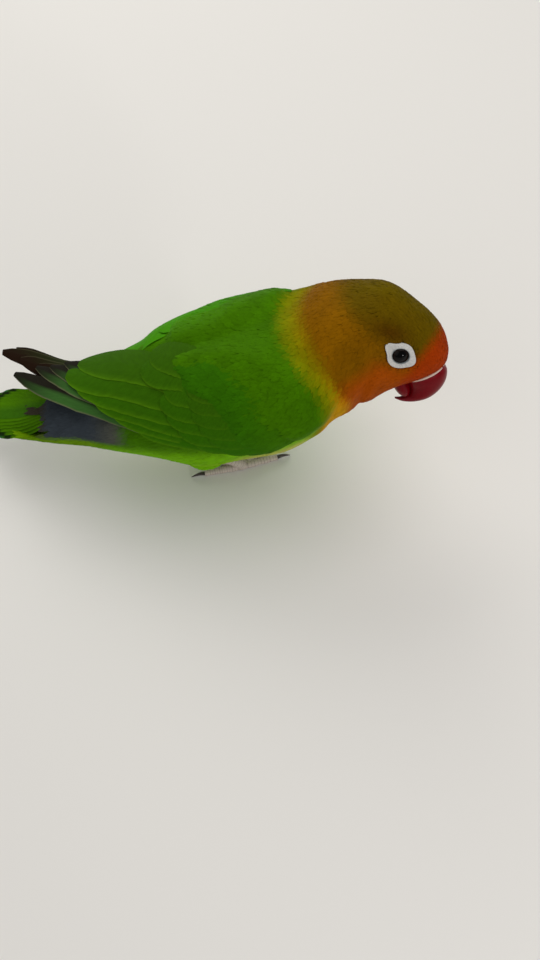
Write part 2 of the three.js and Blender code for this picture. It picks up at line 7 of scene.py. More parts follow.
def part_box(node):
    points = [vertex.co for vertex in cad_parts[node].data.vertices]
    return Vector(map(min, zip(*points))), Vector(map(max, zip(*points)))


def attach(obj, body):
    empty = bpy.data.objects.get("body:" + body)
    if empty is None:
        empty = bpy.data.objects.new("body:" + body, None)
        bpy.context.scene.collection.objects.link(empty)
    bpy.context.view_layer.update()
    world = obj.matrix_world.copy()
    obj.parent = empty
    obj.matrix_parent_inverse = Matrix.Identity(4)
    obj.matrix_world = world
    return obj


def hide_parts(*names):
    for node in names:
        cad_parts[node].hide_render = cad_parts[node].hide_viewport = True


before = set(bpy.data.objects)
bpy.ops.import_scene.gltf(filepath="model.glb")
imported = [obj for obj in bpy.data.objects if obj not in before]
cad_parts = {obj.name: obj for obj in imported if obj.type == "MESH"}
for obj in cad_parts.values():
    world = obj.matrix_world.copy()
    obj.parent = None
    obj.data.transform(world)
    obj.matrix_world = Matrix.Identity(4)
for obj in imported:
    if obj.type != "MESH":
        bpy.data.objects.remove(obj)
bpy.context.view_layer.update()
mm = 0.001
print("frame loaded")

# Shapes are given in millimetres in the bird's own frame: X to the head, Y to its left, Z up.
# A section is x, y, z, turn, tilt (nose down), roll, half width, height above and depth below its centre.
shape = {
    "tail": [
        (-92, -0.2, 16.4, 0, -11, 0, 5.6, 0.6, 0.6),
        (-86, -0.6, 17.6, 0, -12, 0, 7.2, 0.8, 1.0),
        (-78, -1.2, 19.2, 0, -12, 0, 8.4, 1.7, 2.4),
        (-70, -1.8, 20.8, 0, -10, 0, 9.6, 4.0, 5.2),
    ],
    "body": [
        (-64, -2.0, 22.0, 0, -6, 0, 10.4, 6.2, 8.0),
        (-56, -2.0, 24.0, 0, -9, 0, 11.8, 7.2, 11.0),
        (-45, -1.7, 27.0, 0, -11, 0, 15.2, 9.6, 15.6),
        (-30, -1.2, 30.8, 0, -12, 0, 19.4, 14.6, 20.4),
        (-14, -0.4, 34.2, 0, -14, 0, 22.0, 18.4, 22.6),
        (0, 0, 38.0, 0, -17, 0, 22.4, 19.4, 22.8),
        (11, 0.6, 42.4, 0, -16, 0, 20.8, 18.8, 18.2),
    ],
    "neck": [
        (17.5, 1.4, 46.9, -4, -10, -10, 20.9, 19.6, 16.4),
        (25.0, 1.0, 51.2, -10, -6, -22, 18.4, 18.2, 19.0),
    ],
    "headCentre": (35.1, -0.1, 55.2),
    "headTurn": (-17.5, 20.8, -34.1),
    # in the head's own frame: x, z, tilt, half width, height, depth
    "head": [
        (-5.5, -1.6, -15, 14.4, 14.8, 18.4),
        (0.5, -1.8, -3, 11.9, 13.6, 15.8),
        (5.2, -2.4, 13, 10.5, 12.0, 12.6),
        (8.5, -3.3, 27, 8.7, 9.5, 9.7),
        (10.1, -4.0, 36, 7.0, 7.4, 7.5),
        (10.7, -4.4, 39, 5.4, 5.9, 5.9),
    ],
}


def turnOf(turn, tilt, roll):
    return Euler((math.radians(roll), math.radians(tilt), math.radians(turn)), "XYZ").to_quaternion()


headTurn = turnOf(*shape["headTurn"])
headMatrix = np.array(headTurn.to_matrix())
headCentre = np.array(shape["headCentre"])


def fromHead(points):
    return np.asarray(points, float) @ headMatrix.T + headCentre


def toHead(points):
    return (np.asarray(points, float) - headCentre) @ headMatrix


def makeForm(rows):
    # a form's sections as arrays, so that whole coats of feathers are placed at once
    return {
        "centre": np.array([row["centre"] for row in rows], float),
        "turn": np.array([tuple(row["turn"]) for row in rows], float),
        "wide": np.array([row["size"][0] for row in rows], float),
        "up": np.array([row["size"][1] for row in rows], float),
        "down": np.array([row["size"][2] for row in rows], float),
    }


def straightRow(row):
    x, y, z, turn, tilt, roll, *size = row
    return {"centre": (x, y, z), "turn": turnOf(turn, tilt, roll), "size": size}


def headRow(row):
    x, z, tilt, *size = row
    return {"centre": fromHead((x, 0, z)), "turn": headTurn @ turnOf(0, tilt, 0), "size": size}


birdForm = makeForm(
    [straightRow(row) for row in shape["tail"] + shape["body"] + shape["neck"]]
    + [headRow(row) for row in shape["head"]]
)
lastPlace = len(birdForm["wide"]) - 1


def curved(values, i, t):
    # smooth curve through the values at places i + t
    last = len(values) - 1
    a, b, c, d = (values[np.clip(i + k, 0, last)] for k in (-1, 0, 1, 2))
    if values.ndim == 2:
        t = t[..., None]
    past = t - np.clip(t, 0, 1)  # straight on beyond the ends
    t = t - past
    bend = 2 * a - 5 * b + 4 * c - d + t * (3 * (b - c) + d - a)
    return b + past * (c - b) + 0.5 * t * (c - a + t * bend)


def turnedAt(turns, i, t):
    a, b = turns[i], turns[i + 1]
    dot = np.sum(a * b, -1, keepdims=True)
    b = np.where(dot < 0, -b, b)
    angle = np.arccos(np.clip(np.abs(dot), -1, 1))
    part = np.sin(angle)
    t = t[..., None]
    small = part < 1e-5
    part = np.where(small, 1, part)
    mixed = np.where(small, a * (1 - t) + b * t, (a * np.sin((1 - t) * angle) + b * np.sin(t * angle)) / part)
    return mixed / np.linalg.norm(mixed, axis=-1, keepdims=True)


def rotated(turns, v):
    w, axis = turns[..., :1], turns[..., 1:]
    cross = 2 * np.cross(axis, v)
    return v + w * cross + np.cross(axis, cross)


def pointOn(form, place, angle, height=0.0):
    # place along the sections, angle from the top towards the bird's left, height over the form
    place, angle, height = np.broadcast_arrays(np.asarray(place, float), angle, height)
    i = np.clip(np.floor(place).astype(int), 0, len(form["wide"]) - 2)
    t = place - i
    centre = curved(form["centre"], i, t)
    wide, up, down = (curved(form[key], i, t) for key in ("wide", "up", "down"))
    c = np.cos(angle)
    high = (np.where(c > 0, up, down) + height) * c
    across = (wide + height) * np.sin(angle)
    local = np.stack([np.zeros_like(high), across, high], -1)
    return rotated(turnedAt(form["turn"], i, t), local) + centre


def placeAt(form, x):
    return np.interp(x, form["centre"][:, 0], np.arange(len(form["wide"])))


def valueAt(form, key, x):
    # the form's centre or one of its sizes at a distance along the bird
    p = placeAt(form, x)
    i = np.clip(np.floor(p).astype(int), 0, len(form["wide"]) - 2)
    return curved(form[key], i, p - i)


def angleAbout(form, points):
    # degrees round the form's middle line, from the top towards the bird's left
    centre = valueAt(form, "centre", points[..., 0])
    return np.degrees(np.arctan2(points[..., 1] - centre[..., 1], points[..., 2] - centre[..., 2]))


def aboveMiddle(x, z):
    # height over the middle line, from the tail's end to the base of the neck
    middle = birdForm["centre"][: len(shape["tail"] + shape["body"]) + 1]
    return z - np.interp(x, middle[:, 0], middle[:, 2])


def slopes(form, place, angle):
    step = 0.02
    along = (pointOn(form, place + step, angle) - pointOn(form, place - step, angle)) / (2 * step)
    about = (pointOn(form, place, angle + step) - pointOn(form, place, angle - step)) / (2 * step)
    return along, about


def unit(v):
    return v / np.maximum(np.linalg.norm(v, axis=-1, keepdims=True), 1e-9)


def lerp(a, b, t):
    return a + (b - a) * t


def smoothStep(low, high, value):
    t = np.clip((value - low) / (high - low), 0, 1)
    return t * t * (3 - 2 * t)


def paint(code):
    # a display colour as the shaders take it
    parts = np.array([int(code[i : i + 2], 16) for i in (1, 3, 5)]) / 255
    return np.where(parts < 0.04045, parts / 12.92, ((parts + 0.055) / 1.055) ** 2.4)


# Place of the bird in the frame, from the two eyeballs of the solid model
eye = {
    "radius": 3.4,
    "side": 12.2,  # from the head's middle plane to the front of the eye
    "ahead": 10,  # degrees that the eye looks ahead of straight sideways
    "opening": (2.3, 2.0),  # half width and half height of the opening between the lids
    "ring": (3.9, 3.4),  # the same for the bare ring without its corners
    "corners": [(165, 1.9, 20), (-6, 0.9, 12)],  # angle from straight ahead, reach and sharpness
    "lid": paint("#70787a"),
    "bare": paint("#c4c2be"),
    "pupil": paint("#020202"),
    "iris": paint("#1a0f0a"),
    "seed": 7,
}
boxes = [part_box("eye_left"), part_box("eye_right")]
eyesMiddle = np.array(sum((low + high for low, high in boxes), Vector())) / 4 / mm
back = eye["radius"] * math.sin(math.radians(eye["ahead"]))
shift = eyesMiddle - fromHead((-back, 0, 0))


def toWorld(points):
    return (np.asarray(points, float) + shift) * mm


# Colours of the plumage
marking = {
    "mantle": paint("#3d6e02"),
    # painted light: the mantle's green as if lit from behind on the bird's left, the far side
    "mantlePaintedLight": paint("#4c9204"),
    "border": paint("#7c7c02"),
    "collar": paint("#bc8a04"),
    "nape": paint("#845602"),
    "cheek": paint("#784e02"),
    "throat": paint("#a04804"),
    "crown": paint("#5e4a02"),
    "crownDark": paint("#4c2e02"),
    "red": paint("#a03604"),
    "flank": paint("#72b20c"),
    "belly": paint("#94b814"),
    "cream": paint("#c8bc66"),
    "rump": paint("#373e45"),
    "rumpGrey": paint("#4e5048"),
    "dusk": paint("#38342a"),
    "underTail": paint("#648c04"),
    "mottle": 0.05,
    # direction and start of the waves that make up its uneven shade
    "waves": [
        (0.7, 0.3, 0.5, 0),
        (-0.4, 0.8, 0.2, 2),
        (0.3, -0.5, 0.9, 4),
        (1.3, 1.1, -0.6, 1),
        (-1.2, 0.4, 1.5, 3),
    ],
    # where a colour begins and where it is full, in millimetres: towards the left, then in height over
    # the middle line, then along the bird
    # painted light on the mantle, from where it begins to where it is full towards the left
    "toPaintedLight": (2, 16),
    "toFlank": (2, -7),
    "toBelly": (-9, -17),
    "toCream": (-14, -2),
    # where the painted light on the mantle fades ahead
    "paintedLightEnds": (-30, -4),
    "toRump": (-40, -46),
    "toSlate": (-44, -54),
    "toDusk": (-66, -70),
    "toUnderTail": (-44, -56),
    "toHead": (-4.5, 1.5),  # ahead of the mantle's edge
    "toFace": (0.5, 6.5),
    "toCollar": (54, 44),  # height over the floor of the bird's own frame
    "toThroatCollar": (41, 36),
    "toBreast": (36, 28),
    # the same in the head's own frame
    "toNape": (-11, -19),
    "toCrown": (-27, -17),
    "crownUp": (-1, 5),
    "toThroat": (-10, -2),
    "throatDown": (-1, -6),
    "toRed": (13.6, 9.8),  # distance from the bill
    "billBase": (12.5, 0, -2.5),
}


def mixed(a, b, share):
    share = np.asarray(share)[..., None]
    return a * (1 - share) + b * share


def full(key, value):
    # from 0 where a colour of the plumage begins to 1 where it is full
    return smoothStep(*marking[key], value)


def mottled(colour, points):
    # soft uneven shade, a few millimetres from patch to patch
    shade = sum(np.sin(points @ np.array(wave[:3]) + wave[3]) for wave in marking["waves"])
    return colour * (1 + marking["mottle"] * shade / 2)[..., None]


def greenOf(x, y, z):
    # mantle, flanks and belly, then the rump and the coverts under the tail
    above = aboveMiddle(x, z)
    # painted light: the mantle lighter towards the bird's left, the far side lit from behind, less so ahead
    paintedLitShare = full("toPaintedLight", y) * lerp(0.8, 0.1, full("paintedLightEnds", x))
    green = mixed(marking["mantle"], marking["mantlePaintedLight"], paintedLitShare)
    green = mixed(green, marking["flank"], full("toFlank", above))
    green = mixed(green, marking["belly"], full("toBelly", above))
    pale = full("toCream", x) * np.exp(-(((above + 11) / 3.5) ** 2))
    green = mixed(green, marking["cream"], pale * 0.8)
    rump = mixed(marking["rumpGrey"], marking["rump"], full("toSlate", x))
    rump = mixed(rump, marking["dusk"], full("toDusk", x))
    upper = smoothStep(-1.2, 1.4, above - 0.8 * smoothStep(-46, -60, x))
    green = mixed(green, marking["underTail"], full("toUnderTail", x))
    return mixed(green, rump, full("toRump", x) * upper)


def faceOf(q):
    # cheek, nape and crown with its dark streak, then the throat and the red before the bill
    x, y, z = q[..., 0], q[..., 1], q[..., 2]
    face = mixed(marking["cheek"], marking["nape"], full("toNape", x))
    face = mixed(face, marking["crown"], full("crownUp", z + 0.1 * (x + 4)) * full("toCrown", x))
    dark = np.exp(-(((x + 6) / 6.5) ** 2 + ((z - 4.5) / 2.6) ** 2))
    face = mixed(face, marking["crownDark"], dark * 0.9)
    throat = full("toThroat", x + 0.5 * np.clip(-6 - z, 0, 7)) * full("throatDown", z)
    face = mixed(face, marking["throat"], throat)
    # the top of the head a little greener, partly the crown's own olive and partly painted light from above
    top = smoothStep(0.8, 1, z / np.maximum(np.hypot(y, z), 1))
    face = mixed(face, marking["border"], top * smoothStep(-22, -12, x) * smoothStep(12, 4, x) * 0.1)
    fromBill = np.linalg.norm((q - np.array(marking["billBase"])) * np.array([1, 0.8, 0.9]), axis=-1)
    return mixed(face, marking["red"], full("toRed", fromBill))


def plumageAt(points):
    # colour of the plumage at places on the bird, head and body blended at the collar
    points = np.asarray(points, float)
    x, y, z = points[..., 0], points[..., 1], points[..., 2]
    q = toHead(points)
    ahead = x + 0.14 * y - 0.04 * z - 0.02 * y * y - 1.9  # distance ahead of the mantle's edge
    low = smoothStep(0, 1, (-q[..., 2] - 15 - (q[..., 0] + 6) * 0.5) / 7)
    face = mixed(faceOf(q), marking["collar"], low * smoothStep(8, 2, ahead - 6))
    face = mixed(face, marking["collar"], full("toThroatCollar", z))
    edge = mixed(marking["border"], marking["collar"], smoothStep(0, 4, ahead) * full("toCollar", z))
    face = mixed(edge, face, full("toFace", ahead))
    face = mixed(face, marking["flank"], full("toBreast", z))
    return mottled(mixed(greenOf(x, y, z), face, full("toHead", ahead)), points)


def markPoints(mesh, key, values):
    # each point's colour (tint) or its place on its feather (vane), as the finishes read them
    if key == "tint":
        layer = mesh.attributes.new(key, "FLOAT_COLOR", "POINT")
        values = np.concatenate([values, np.ones((len(values), 1))], 1)
    else:
        layer = mesh.attributes.new(key, "FLOAT_VECTOR", "POINT")
    layer.data.foreach_set("color" if key == "tint" else "vector", values.astype(np.float32).ravel())


def newMesh(name, points, loops, starts, attributes, uv=None, sharp=50):
    # a mesh piece from points in millimetres and its faces' corners
    mesh = bpy.data.meshes.new(name)
    mesh.vertices.add(len(points))
    mesh.vertices.foreach_set("co", toWorld(points).astype(np.float32).ravel())
    mesh.loops.add(len(loops))
    mesh.loops.foreach_set("vertex_index", np.asarray(loops, np.int32))
    mesh.polygons.add(len(starts))
    mesh.polygons.foreach_set("loop_start", np.asarray(starts, np.int32))
    mesh.update(calc_edges=True)
    for key, values in attributes.items():
        markPoints(mesh, key, values)
    if uv is not None:
        layer = mesh.uv_layers.new(name="OFBake")
        layer.data.foreach_set("uv", uv[loops].astype(np.float32).ravel())
    mesh.validate()
    mesh.shade_smooth()
    mesh.set_sharp_from_angle(angle=math.radians(sharp))
    piece = bpy.data.objects.new(name, mesh)
    bpy.context.scene.collection.objects.link(piece)
    return piece


def loftFaces(grid):
    # faces of closed lofts, given as lofts, rows and points round, turned to face outward
    count, rows, ring = grid.shape[:3]
    point = np.arange(count * rows * ring).reshape(count, rows, ring)
    turned = np.roll(point, -1, axis=2)
    quads = np.stack([point[:, :-1], turned[:, :-1], turned[:, 1:], point[:, 1:]], -1)
    caps = np.stack([point[:, 0, ::-1], point[:, -1]], 1)
    flat = (grid - grid.mean((1, 2), keepdims=True)).reshape(-1, 3)
    a, b, c, d = (flat[quads[..., k]] for k in range(4))
    inward = np.sum(a * (np.cross(b, c) + np.cross(c, d)), axis=(1, 2, 3)) < 0
    quads = np.where(inward[:, None, None, None], quads[..., ::-1], quads).reshape(-1)
    caps = np.where(inward[:, None, None], caps[..., ::-1], caps).reshape(-1)
    starts = np.concatenate([np.arange(0, len(quads), 4), len(quads) + np.arange(0, len(caps), ring)])
    return np.concatenate([quads, caps]), starts


def joined(grids):
    # several single lofts as one list of points and faces
    points, loops, starts = [], [], []
    for grid in grids:
        someLoops, someStarts = loftFaces(grid[None])
        starts.append(someStarts + sum(len(s) for s in loops))
        loops.append(someLoops + sum(len(p) for p in points))
        points.append(grid.reshape(-1, 3))
    return np.concatenate(points), np.concatenate(loops), np.concatenate(starts)


def finishOf(name, rough, **sockets):
    made = bpy.data.materials.new(name)
    made.use_nodes = True
    shader = made.node_tree.nodes["Principled BSDF"]
    shader.inputs["Roughness"].default_value = rough
    for key, value in sockets.items():
        shader.inputs[key.replace("_", " ")].default_value = value
    return made, made.node_tree, shader


def node(tree, kind, **inputs):
    made = tree.nodes.new(kind)
    for key, value in inputs.items():
        if key in made.bl_rna.properties:
            setattr(made, key, value)
        else:
            made.inputs[key.replace("_", " ")].default_value = value
    return made


def raiseBy(tree, shader, spot, noise, bump):
    # makes a noise show as relief
    tree.links.new(spot, noise.inputs["Vector"])
    tree.links.new(noise.outputs["Fac"], bump.inputs["Height"])
    tree.links.new(bump.outputs["Normal"], shader.inputs["Normal"])


def shadeBy(tree, shader, noise, low, high, contrast):
    # the tint given at each point, made uneven by the noise
    tint = node(tree, "ShaderNodeAttribute", attribute_name="tint")
    ramp = node(tree, "ShaderNodeMapRange")
    span = {"From Min": low, "From Max": high, "To Min": 1 - contrast, "To Max": 1 + contrast}
    for key, value in span.items():
        ramp.inputs[key].default_value = value
    shade = node(tree, "ShaderNodeHueSaturation")
    tree.links.new(noise.outputs["Fac"], ramp.inputs["Value"])
    tree.links.new(tint.outputs["Color"], shade.inputs["Color"])
    tree.links.new(ramp.outputs["Result"], shade.inputs["Value"])
    tree.links.new(shade.outputs["Color"], shader.inputs["Base Color"])


def featherFinish(name, streaks, relief, contrast, **sockets):
    # streaked along the barbs of each vane
    made, tree, shader = finishOf(name, 0.6, **sockets)
    vane = node(tree, "ShaderNodeAttribute", attribute_name="vane")
    scaled = node(tree, "ShaderNodeVectorMath", operation="MULTIPLY")
    scaled.inputs[1].default_value = streaks
    noise = node(tree, "ShaderNodeTexNoise", Scale=1.0, Detail=2.0, Roughness=0.6)
    bump = node(tree, "ShaderNodeBump", Strength=0.6, Distance=relief)
    tree.links.new(vane.outputs["Vector"], scaled.inputs[0])
    raiseBy(tree, shader, scaled.outputs["Vector"], noise, bump)
    shadeBy(tree, shader, noise, 0.25, 0.75, contrast)
    return made


def hornFinish(name, rough, scale, contrast, relief, **sockets):
    # bill, claws, scales, bare skin and eyes
    made, tree, shader = finishOf(name, rough, **sockets)
    spot = node(tree, "ShaderNodeTexCoord")
    noise = node(tree, "ShaderNodeTexNoise", Scale=scale, Detail=3.0)
    bump = node(tree, "ShaderNodeBump", Strength=0.5, Distance=relief)
    raiseBy(tree, shader, spot.outputs["Object"], noise, bump)
    shadeBy(tree, shader, noise, 0, 1, contrast)
    return made


def rideRoot(piece, material, slotName, *nodes):
    # every piece moves with the one body
    piece.data.materials.append(material)
    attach(piece, "root")
    if nodes:
        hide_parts(*nodes)
    return piece


sheen = {"Specular_IOR_Level": 0.03, "Specular_Tint": (1.0, 0.85, 0.15, 1)}
softCoat = featherFinish("softFeather", (2.5, 1.2, 31), 0.00005, 0.14, **sheen)
vaneCoat = featherFinish("vaneFeather", (3, 26, 31), 0.00008, 0.12, **sheen)

# Coat: lists along the form from the tail to the bill
coat = {
    "place": [0, 3, 5, 8, 10, 12, 13.2, 14.5, 16, 18],
    "depth": [0.5, 0.6, 0.65, 0.65, 0.62, 0.54, 0.44, 0.37, 0.29, 0.2],
    "spacing": [0.64, 0.64, 0.62, 0.58, 0.54, 0.48, 0.4, 0.34, 0.29, 0.25],
    "length": [7, 6.5, 5.6, 5.2, 5.0, 4.4, 3.6, 2.7, 2.0, 1.3],
    "half": [0.75, 0.75, 0.72, 0.7, 0.66, 0.56, 0.46, 0.37, 0.3, 0.24],
    "cup": 0.09,  # how far a feather's edges hang below its middle
    "seed": 11,
    "zoneSeed": 20,
    "tries": 900000,  # places that are drawn before those too near each other are dropped
    # centre, reach and height of places where the coat is fuller or flatter, the same on both sides
    "fluff": [((-20, 18, 20), (9, 8, 8), 2.0)],
    "throat": [(12.15, 0.5, -1.7), (13.3, 0.6, 1.2)],  # place along the form, reach and height
    "headFluff": [((4, 2, -13.5), (4.5, 5, 4), 1.7), ((11, 5.5, -4.5), (3.2, 3, 4), -0.7)],
}


def coatAt(key, place):
    return np.interp(place, coat["place"], coat[key])


def fluff(points, place, angle):
    low = smoothStep(95, 135, np.degrees(np.abs((angle + math.pi) % (2 * math.pi) - math.pi)))
    more = 0
    for at, reach, height in coat["throat"]:
        more = more + height * low * np.exp(-(((place - at) / reach) ** 2))
    for local, key in ((np.asarray(points, float), "fluff"), (toHead(points), "headFluff")):
        sided = local * np.array([1, 0, 1]) + np.abs(local) * np.array([0, 1, 0])
        for centre, reach, height in coat[key]:
            away = (sided - np.array(centre)) / np.array(reach)
            more = more + height * np.exp(-np.sum(away**2, -1))
    return more


# Folded wings: the form that they lie over, their flesh, and the places of their feathers
wing = {
    "left": {
        "run": [
            (-84, 10.5, 28.6, 0, -2, 0, 9.0, 2.6, 5),
            (-74, 7.2, 28.0, 0, -3, 0, 10.0, 3.0, 6),
            (-62, 2.0, 26.0, 0, -6, 0, 10.6, 4.2, 9),
            (-50, -1.2, 26.8, 0, -10, 0, 13.0, 7.0, 13),
            (-38, -1.6, 28.8, 0, -11, 0, 15.6, 11.2, 16),
        ],
        "rear": [(0, 28, 98, 2.4), (-12, 22, 99, 2.1), (-24, 26, 98, 1.2), (-32, 40, 94, 0.5)],
        "primaries": ([(-18, 92), (-20, 74)], [(-77, 36), (-80.3, 18), (-75, 10), (-69, 12)], -10),
        "secondaries": (
            [(-18, 92), (-18, 80), (-17, 64), (-15, 48), (-11, 38)],
            [(-37, 92), (-43, 86), (-49, 80), (-53, 72), (-54, 62), (-50, 52), (-44, 38)],
            0,
        ),
        "coverts": (
            [(-3, 88), (-6, 36)],
            [(-21, 90), (-24, 80), (-27, 69), (-29, 57), (-30, 46), (-29, 36)],
            0,
        ),
        "medians": ([(-2, 86), (-2, 50)], [(-14, 90), (-16, 80), (-18, 70), (-20, 60), (-21, 50)], 0),
        "ahead": 6.5,  # where the wing's own small feathers begin
        # angle, and how far back the soft feathers reach over the wing there
        "softEdge": [(0, -32), (40, -31), (50, -22), (62, -14), (92, -9)],
        # the mantle over this wing: how many degrees nearer the midline it starts to rise, how flat it lies
        # ahead of the wing's own feathers, its share of height behind the soft edge, and where it ends
        "early": 14,
        "bareShare": 1,
        "behind": 0.9,
        "mantleRear": (-44, 6),
        "tilt": 0.06,  # added to the tilt of its feathers
    },
    "right": {
        "run": [
            (-84, -1, 24.0, 0, -4, 0, 18, 6.4, 8.5),
            (-74, -1.5, 25.6, 0, -5, 0, 16, 7.0, 9.2),
            (-62, -1.4, 26.5, 0, -7, 0, 12.8, 7.8, 11),
            (-50, -0.9, 27.1, 0, -10, 0, 14.6, 9.6, 13.4),
        ],
        "rear": [(0, 20, 97, 2.4), (-12, 6, 94, 2.1), (-24, 2, 84, 1.2), (-32, 2, 70, 0.5)],
        "primaries": ([(-20, 77), (-22, 60)], [(-75.5, -20), (-69, -31), (-64.5, -32), (-60, -36)], 3),
        "secondaries": (
            [(-12, 78), (-14, 66), (-14, 52), (-13, 32)],
            [(-37, 46), (-43, 33), (-48.5, 19), (-54, 4), (-58, -12), (-54.5, -28)],
            0,
        ),
        "coverts": (
            [(-5, 80), (-8, 50), (-14, 18)],
            [(-20, 68), (-23.5, 58), (-26, 46), (-27.5, 35), (-26, 25), (-33, 6), (-30, -6)],
            0,
        ),
        "medians": (
            [(-1, 80), (-2, 40)],
            [(-13, 79), (-15, 69), (-17, 59), (-18.5, 49), (-19, 39), (-19, 29)],
            0,
        ),
        "ahead": 16.5,
        "softEdge": [(-45, -34), (4, -31), (14, -30), (23, -26), (37, -23.5), (47, -17), (62, -13), (92, -9)],
        "early": 0,
        "bareShare": 0.4,
        "behind": 0.6,
        "mantleRear": (-56, 0),
        "tilt": 0,
    },
    # x, upper and lower edge in degrees from the back's midline, thickness
    "front": [(17, 66, 80, 0.8), (15, 56, 86, 1.6), (9, 40, 92, 2.2)],
    "under": 0.6,
    "riseBefore": 18,  # degrees before a wing's upper edge where the mantle starts to climb over it
    "riseOver": 26,  # degrees over which it climbs
    "vaneSeed": 70,  # for the large feathers, and the next one for the small coverts
    "seed": 90,
    "tries": 300000,
    "coatFrom": -27,
    # small coverts from the rear to the front: spacing, length, half width and depth of the root
    "spacing": (0.9, 0.5),
    "length": (8.4, 4.2),
    "half": (1.1, 0.55),
    "depth": (0.75, 0.6),
    # x, and how high the small coverts stand there
    "softHeight": [(-24, 3.3), (-12, 3.3), (0, 3.2), (9, 2.9), (15, 2.2), (17, 1.2)],
    # the body bears no feathers this far within the wing's edges, in degrees, between these two places
    "bareTop": 38,
    "bareLow": 12,
    "bareFrom": -46,
    "bareTo": 13,
    # half width, where it tapers, thickness, tilt, height at root and tip, climb of a tier
    "tiers": {
        "primaries": (3.1, 0.55, 0.35, 0.0, 0.6, 1.25, 0.3),
        "secondaries": (4.5, 0.7, 0.26, 0.06, 1.8, 2.1, 0.05),
        "coverts": (4.2, 0.6, 0.22, 0.06, 2.1, 2.55, 0.05),
        "medians": (3.6, 0.55, 0.2, 0.06, 2.4, 2.9, 0.03),
    },
}


def wingFormOf(name):
    rows = wing[name]["run"] + shape["body"][3:] + shape["neck"][:1]
    return makeForm([straightRow(row) for row in rows])


wingForms = {name: wingFormOf(name) for name in ("left", "right")}
wingSign = {"left": 1, "right": -1}


def wingEdges(name, x):
    rows = np.array((wing["front"] + wing[name]["rear"])[::-1], float)
    return [np.interp(x, rows[:, 0], rows[:, k]) for k in (1, 2, 3)]


def underWing(points):
    # true for places on the body that a folded wing covers
    x = points[..., 0]
    angle = angleAbout(birdForm, points)
    covered = np.zeros(points.shape[:-1], bool)
    for name, sign in wingSign.items():
        top, low, _ = wingEdges(name, x)
        inside = (angle * sign > top + wing["bareTop"]) & (angle * sign < low - wing["bareLow"])
        covered |= inside & (x > wing["bareFrom"]) & (x < wing["bareTo"])
    return covered


def softEdgeAt(name, angle):
    # where the soft feathers over a wing end
    return np.interp(angle, *np.array(wing[name]["softEdge"], float).T)


def mantleLift(points):
    # the mantle's feathers climb over the upper edges of the folded wings
    x = points[..., 0]
    angle = angleAbout(birdForm, points)
    lift = 0
    for name, sign in wingSign.items():
        own = wing[name]
        top, low, thick = wingEdges(name, x)
        start = top - wing["riseBefore"] + 8 * smoothStep(0, 10, x) - own["early"] * smoothStep(-8, -16, x)
        bend = smoothStep(-2, 10, x)  # ahead of here the breast's feathers cover the wing's lower edge too
        over = smoothStep(start, start + wing["riseOver"], angle * sign)
        over = over * smoothStep(low - 14 + 30 * bend, low - 26 + 18 * bend, angle * sign)
        bare = wing["under"] + (thick - 1.4) * 0.9 + 0.5  # over the flesh alone, ahead of the wing's feathers
        ahead = smoothStep(own["ahead"] - 5, own["ahead"] + 1, x)
        level = np.maximum(thick + wing["under"] + 0.6, 3.1 * smoothStep(-34, -26, x))
        level = lerp(level, bare, ahead * own["bareShare"])
        edge = softEdgeAt(name, angle * sign)
        lifted = over * level * lerp(own["behind"], 1, smoothStep(edge - 1, edge + 6, x))
        rear, more = own["mantleRear"]
        rear = rear + more * smoothStep(38, 55, angle * sign)
        lifted = lifted * smoothStep(rear, rear + 8, x)
        lift = np.maximum(lift, lifted)
    return lift * smoothStep(19, 16, x)


eyeTurns = {s: headTurn @ turnOf(wingSign[s] * (90 - eye["ahead"]), 0, 0) for s in wingSign}


def toEye(points, name):
    # places in an eye's own frame: outwards, ahead and up
    matrix = np.array(eyeTurns[name].to_matrix())
    front = fromHead((0, wingSign[name] * eye["side"], 0))
    local = (np.asarray(points, float) - front) @ matrix
    return local * np.array([1, -wingSign[name], 1])


def fromEye(local, name):
    # the way back from an eye's own frame
    matrix = np.array(eyeTurns[name].to_matrix())
    front = fromHead((0, wingSign[name] * eye["side"], 0))
    return (np.asarray(local, float) * np.array([1, -wingSign[name], 1])) @ matrix.T + front


def oval(size, angle):
    return 1 / np.hypot(np.cos(angle) / size[0], np.sin(angle) / size[1])


def ringReach(angle):
    # from the eye's middle to the outer edge of the bare ring, drawn out at its corners
    reach = oval(eye["ring"], angle)
    for turn, more, sharp in eye["corners"]:
        reach = reach + more * np.maximum(0, np.cos(angle - math.radians(turn))) ** sharp
    return reach


def roomToEye(points):
    # distance outside the bare ring, negative within it, and the way straight out from the eye
    room = np.full(points.shape[:-1], 99.0)
    away = np.zeros(points.shape)
    for name in wingSign:
        local = toEye(points, name)
        reach = np.hypot(local[..., 1], local[..., 2])
        here = reach - ringReach(np.arctan2(local[..., 2], local[..., 1]))
        near = (local[..., 0] > -7) & (here < room)
        out = fromEye(local + unit(local * np.array([0, 1, 1])), name) - points
        away = np.where(near[..., None], out, away)
        room = np.where(near, here, room)
    return room, away


def ringTree(name):
    # places on the head round an eye, to look up how far out it stands there
    p, a = np.meshgrid(np.linspace(13.4, 17.9, 120), np.radians(np.linspace(20, 150, 140)), indexing="ij")
    local = toEye(pointOn(birdForm, p, a * wingSign[name]), name).reshape(-1, 3)
    tree = kdtree.KDTree(len(local))
    for i, point in enumerate(local):
        tree.insert((point[1], point[2], 0), i)
    tree.balance()
    return tree, local[:, 0]


ringTrees = {name: ringTree(name) for name in wingSign}


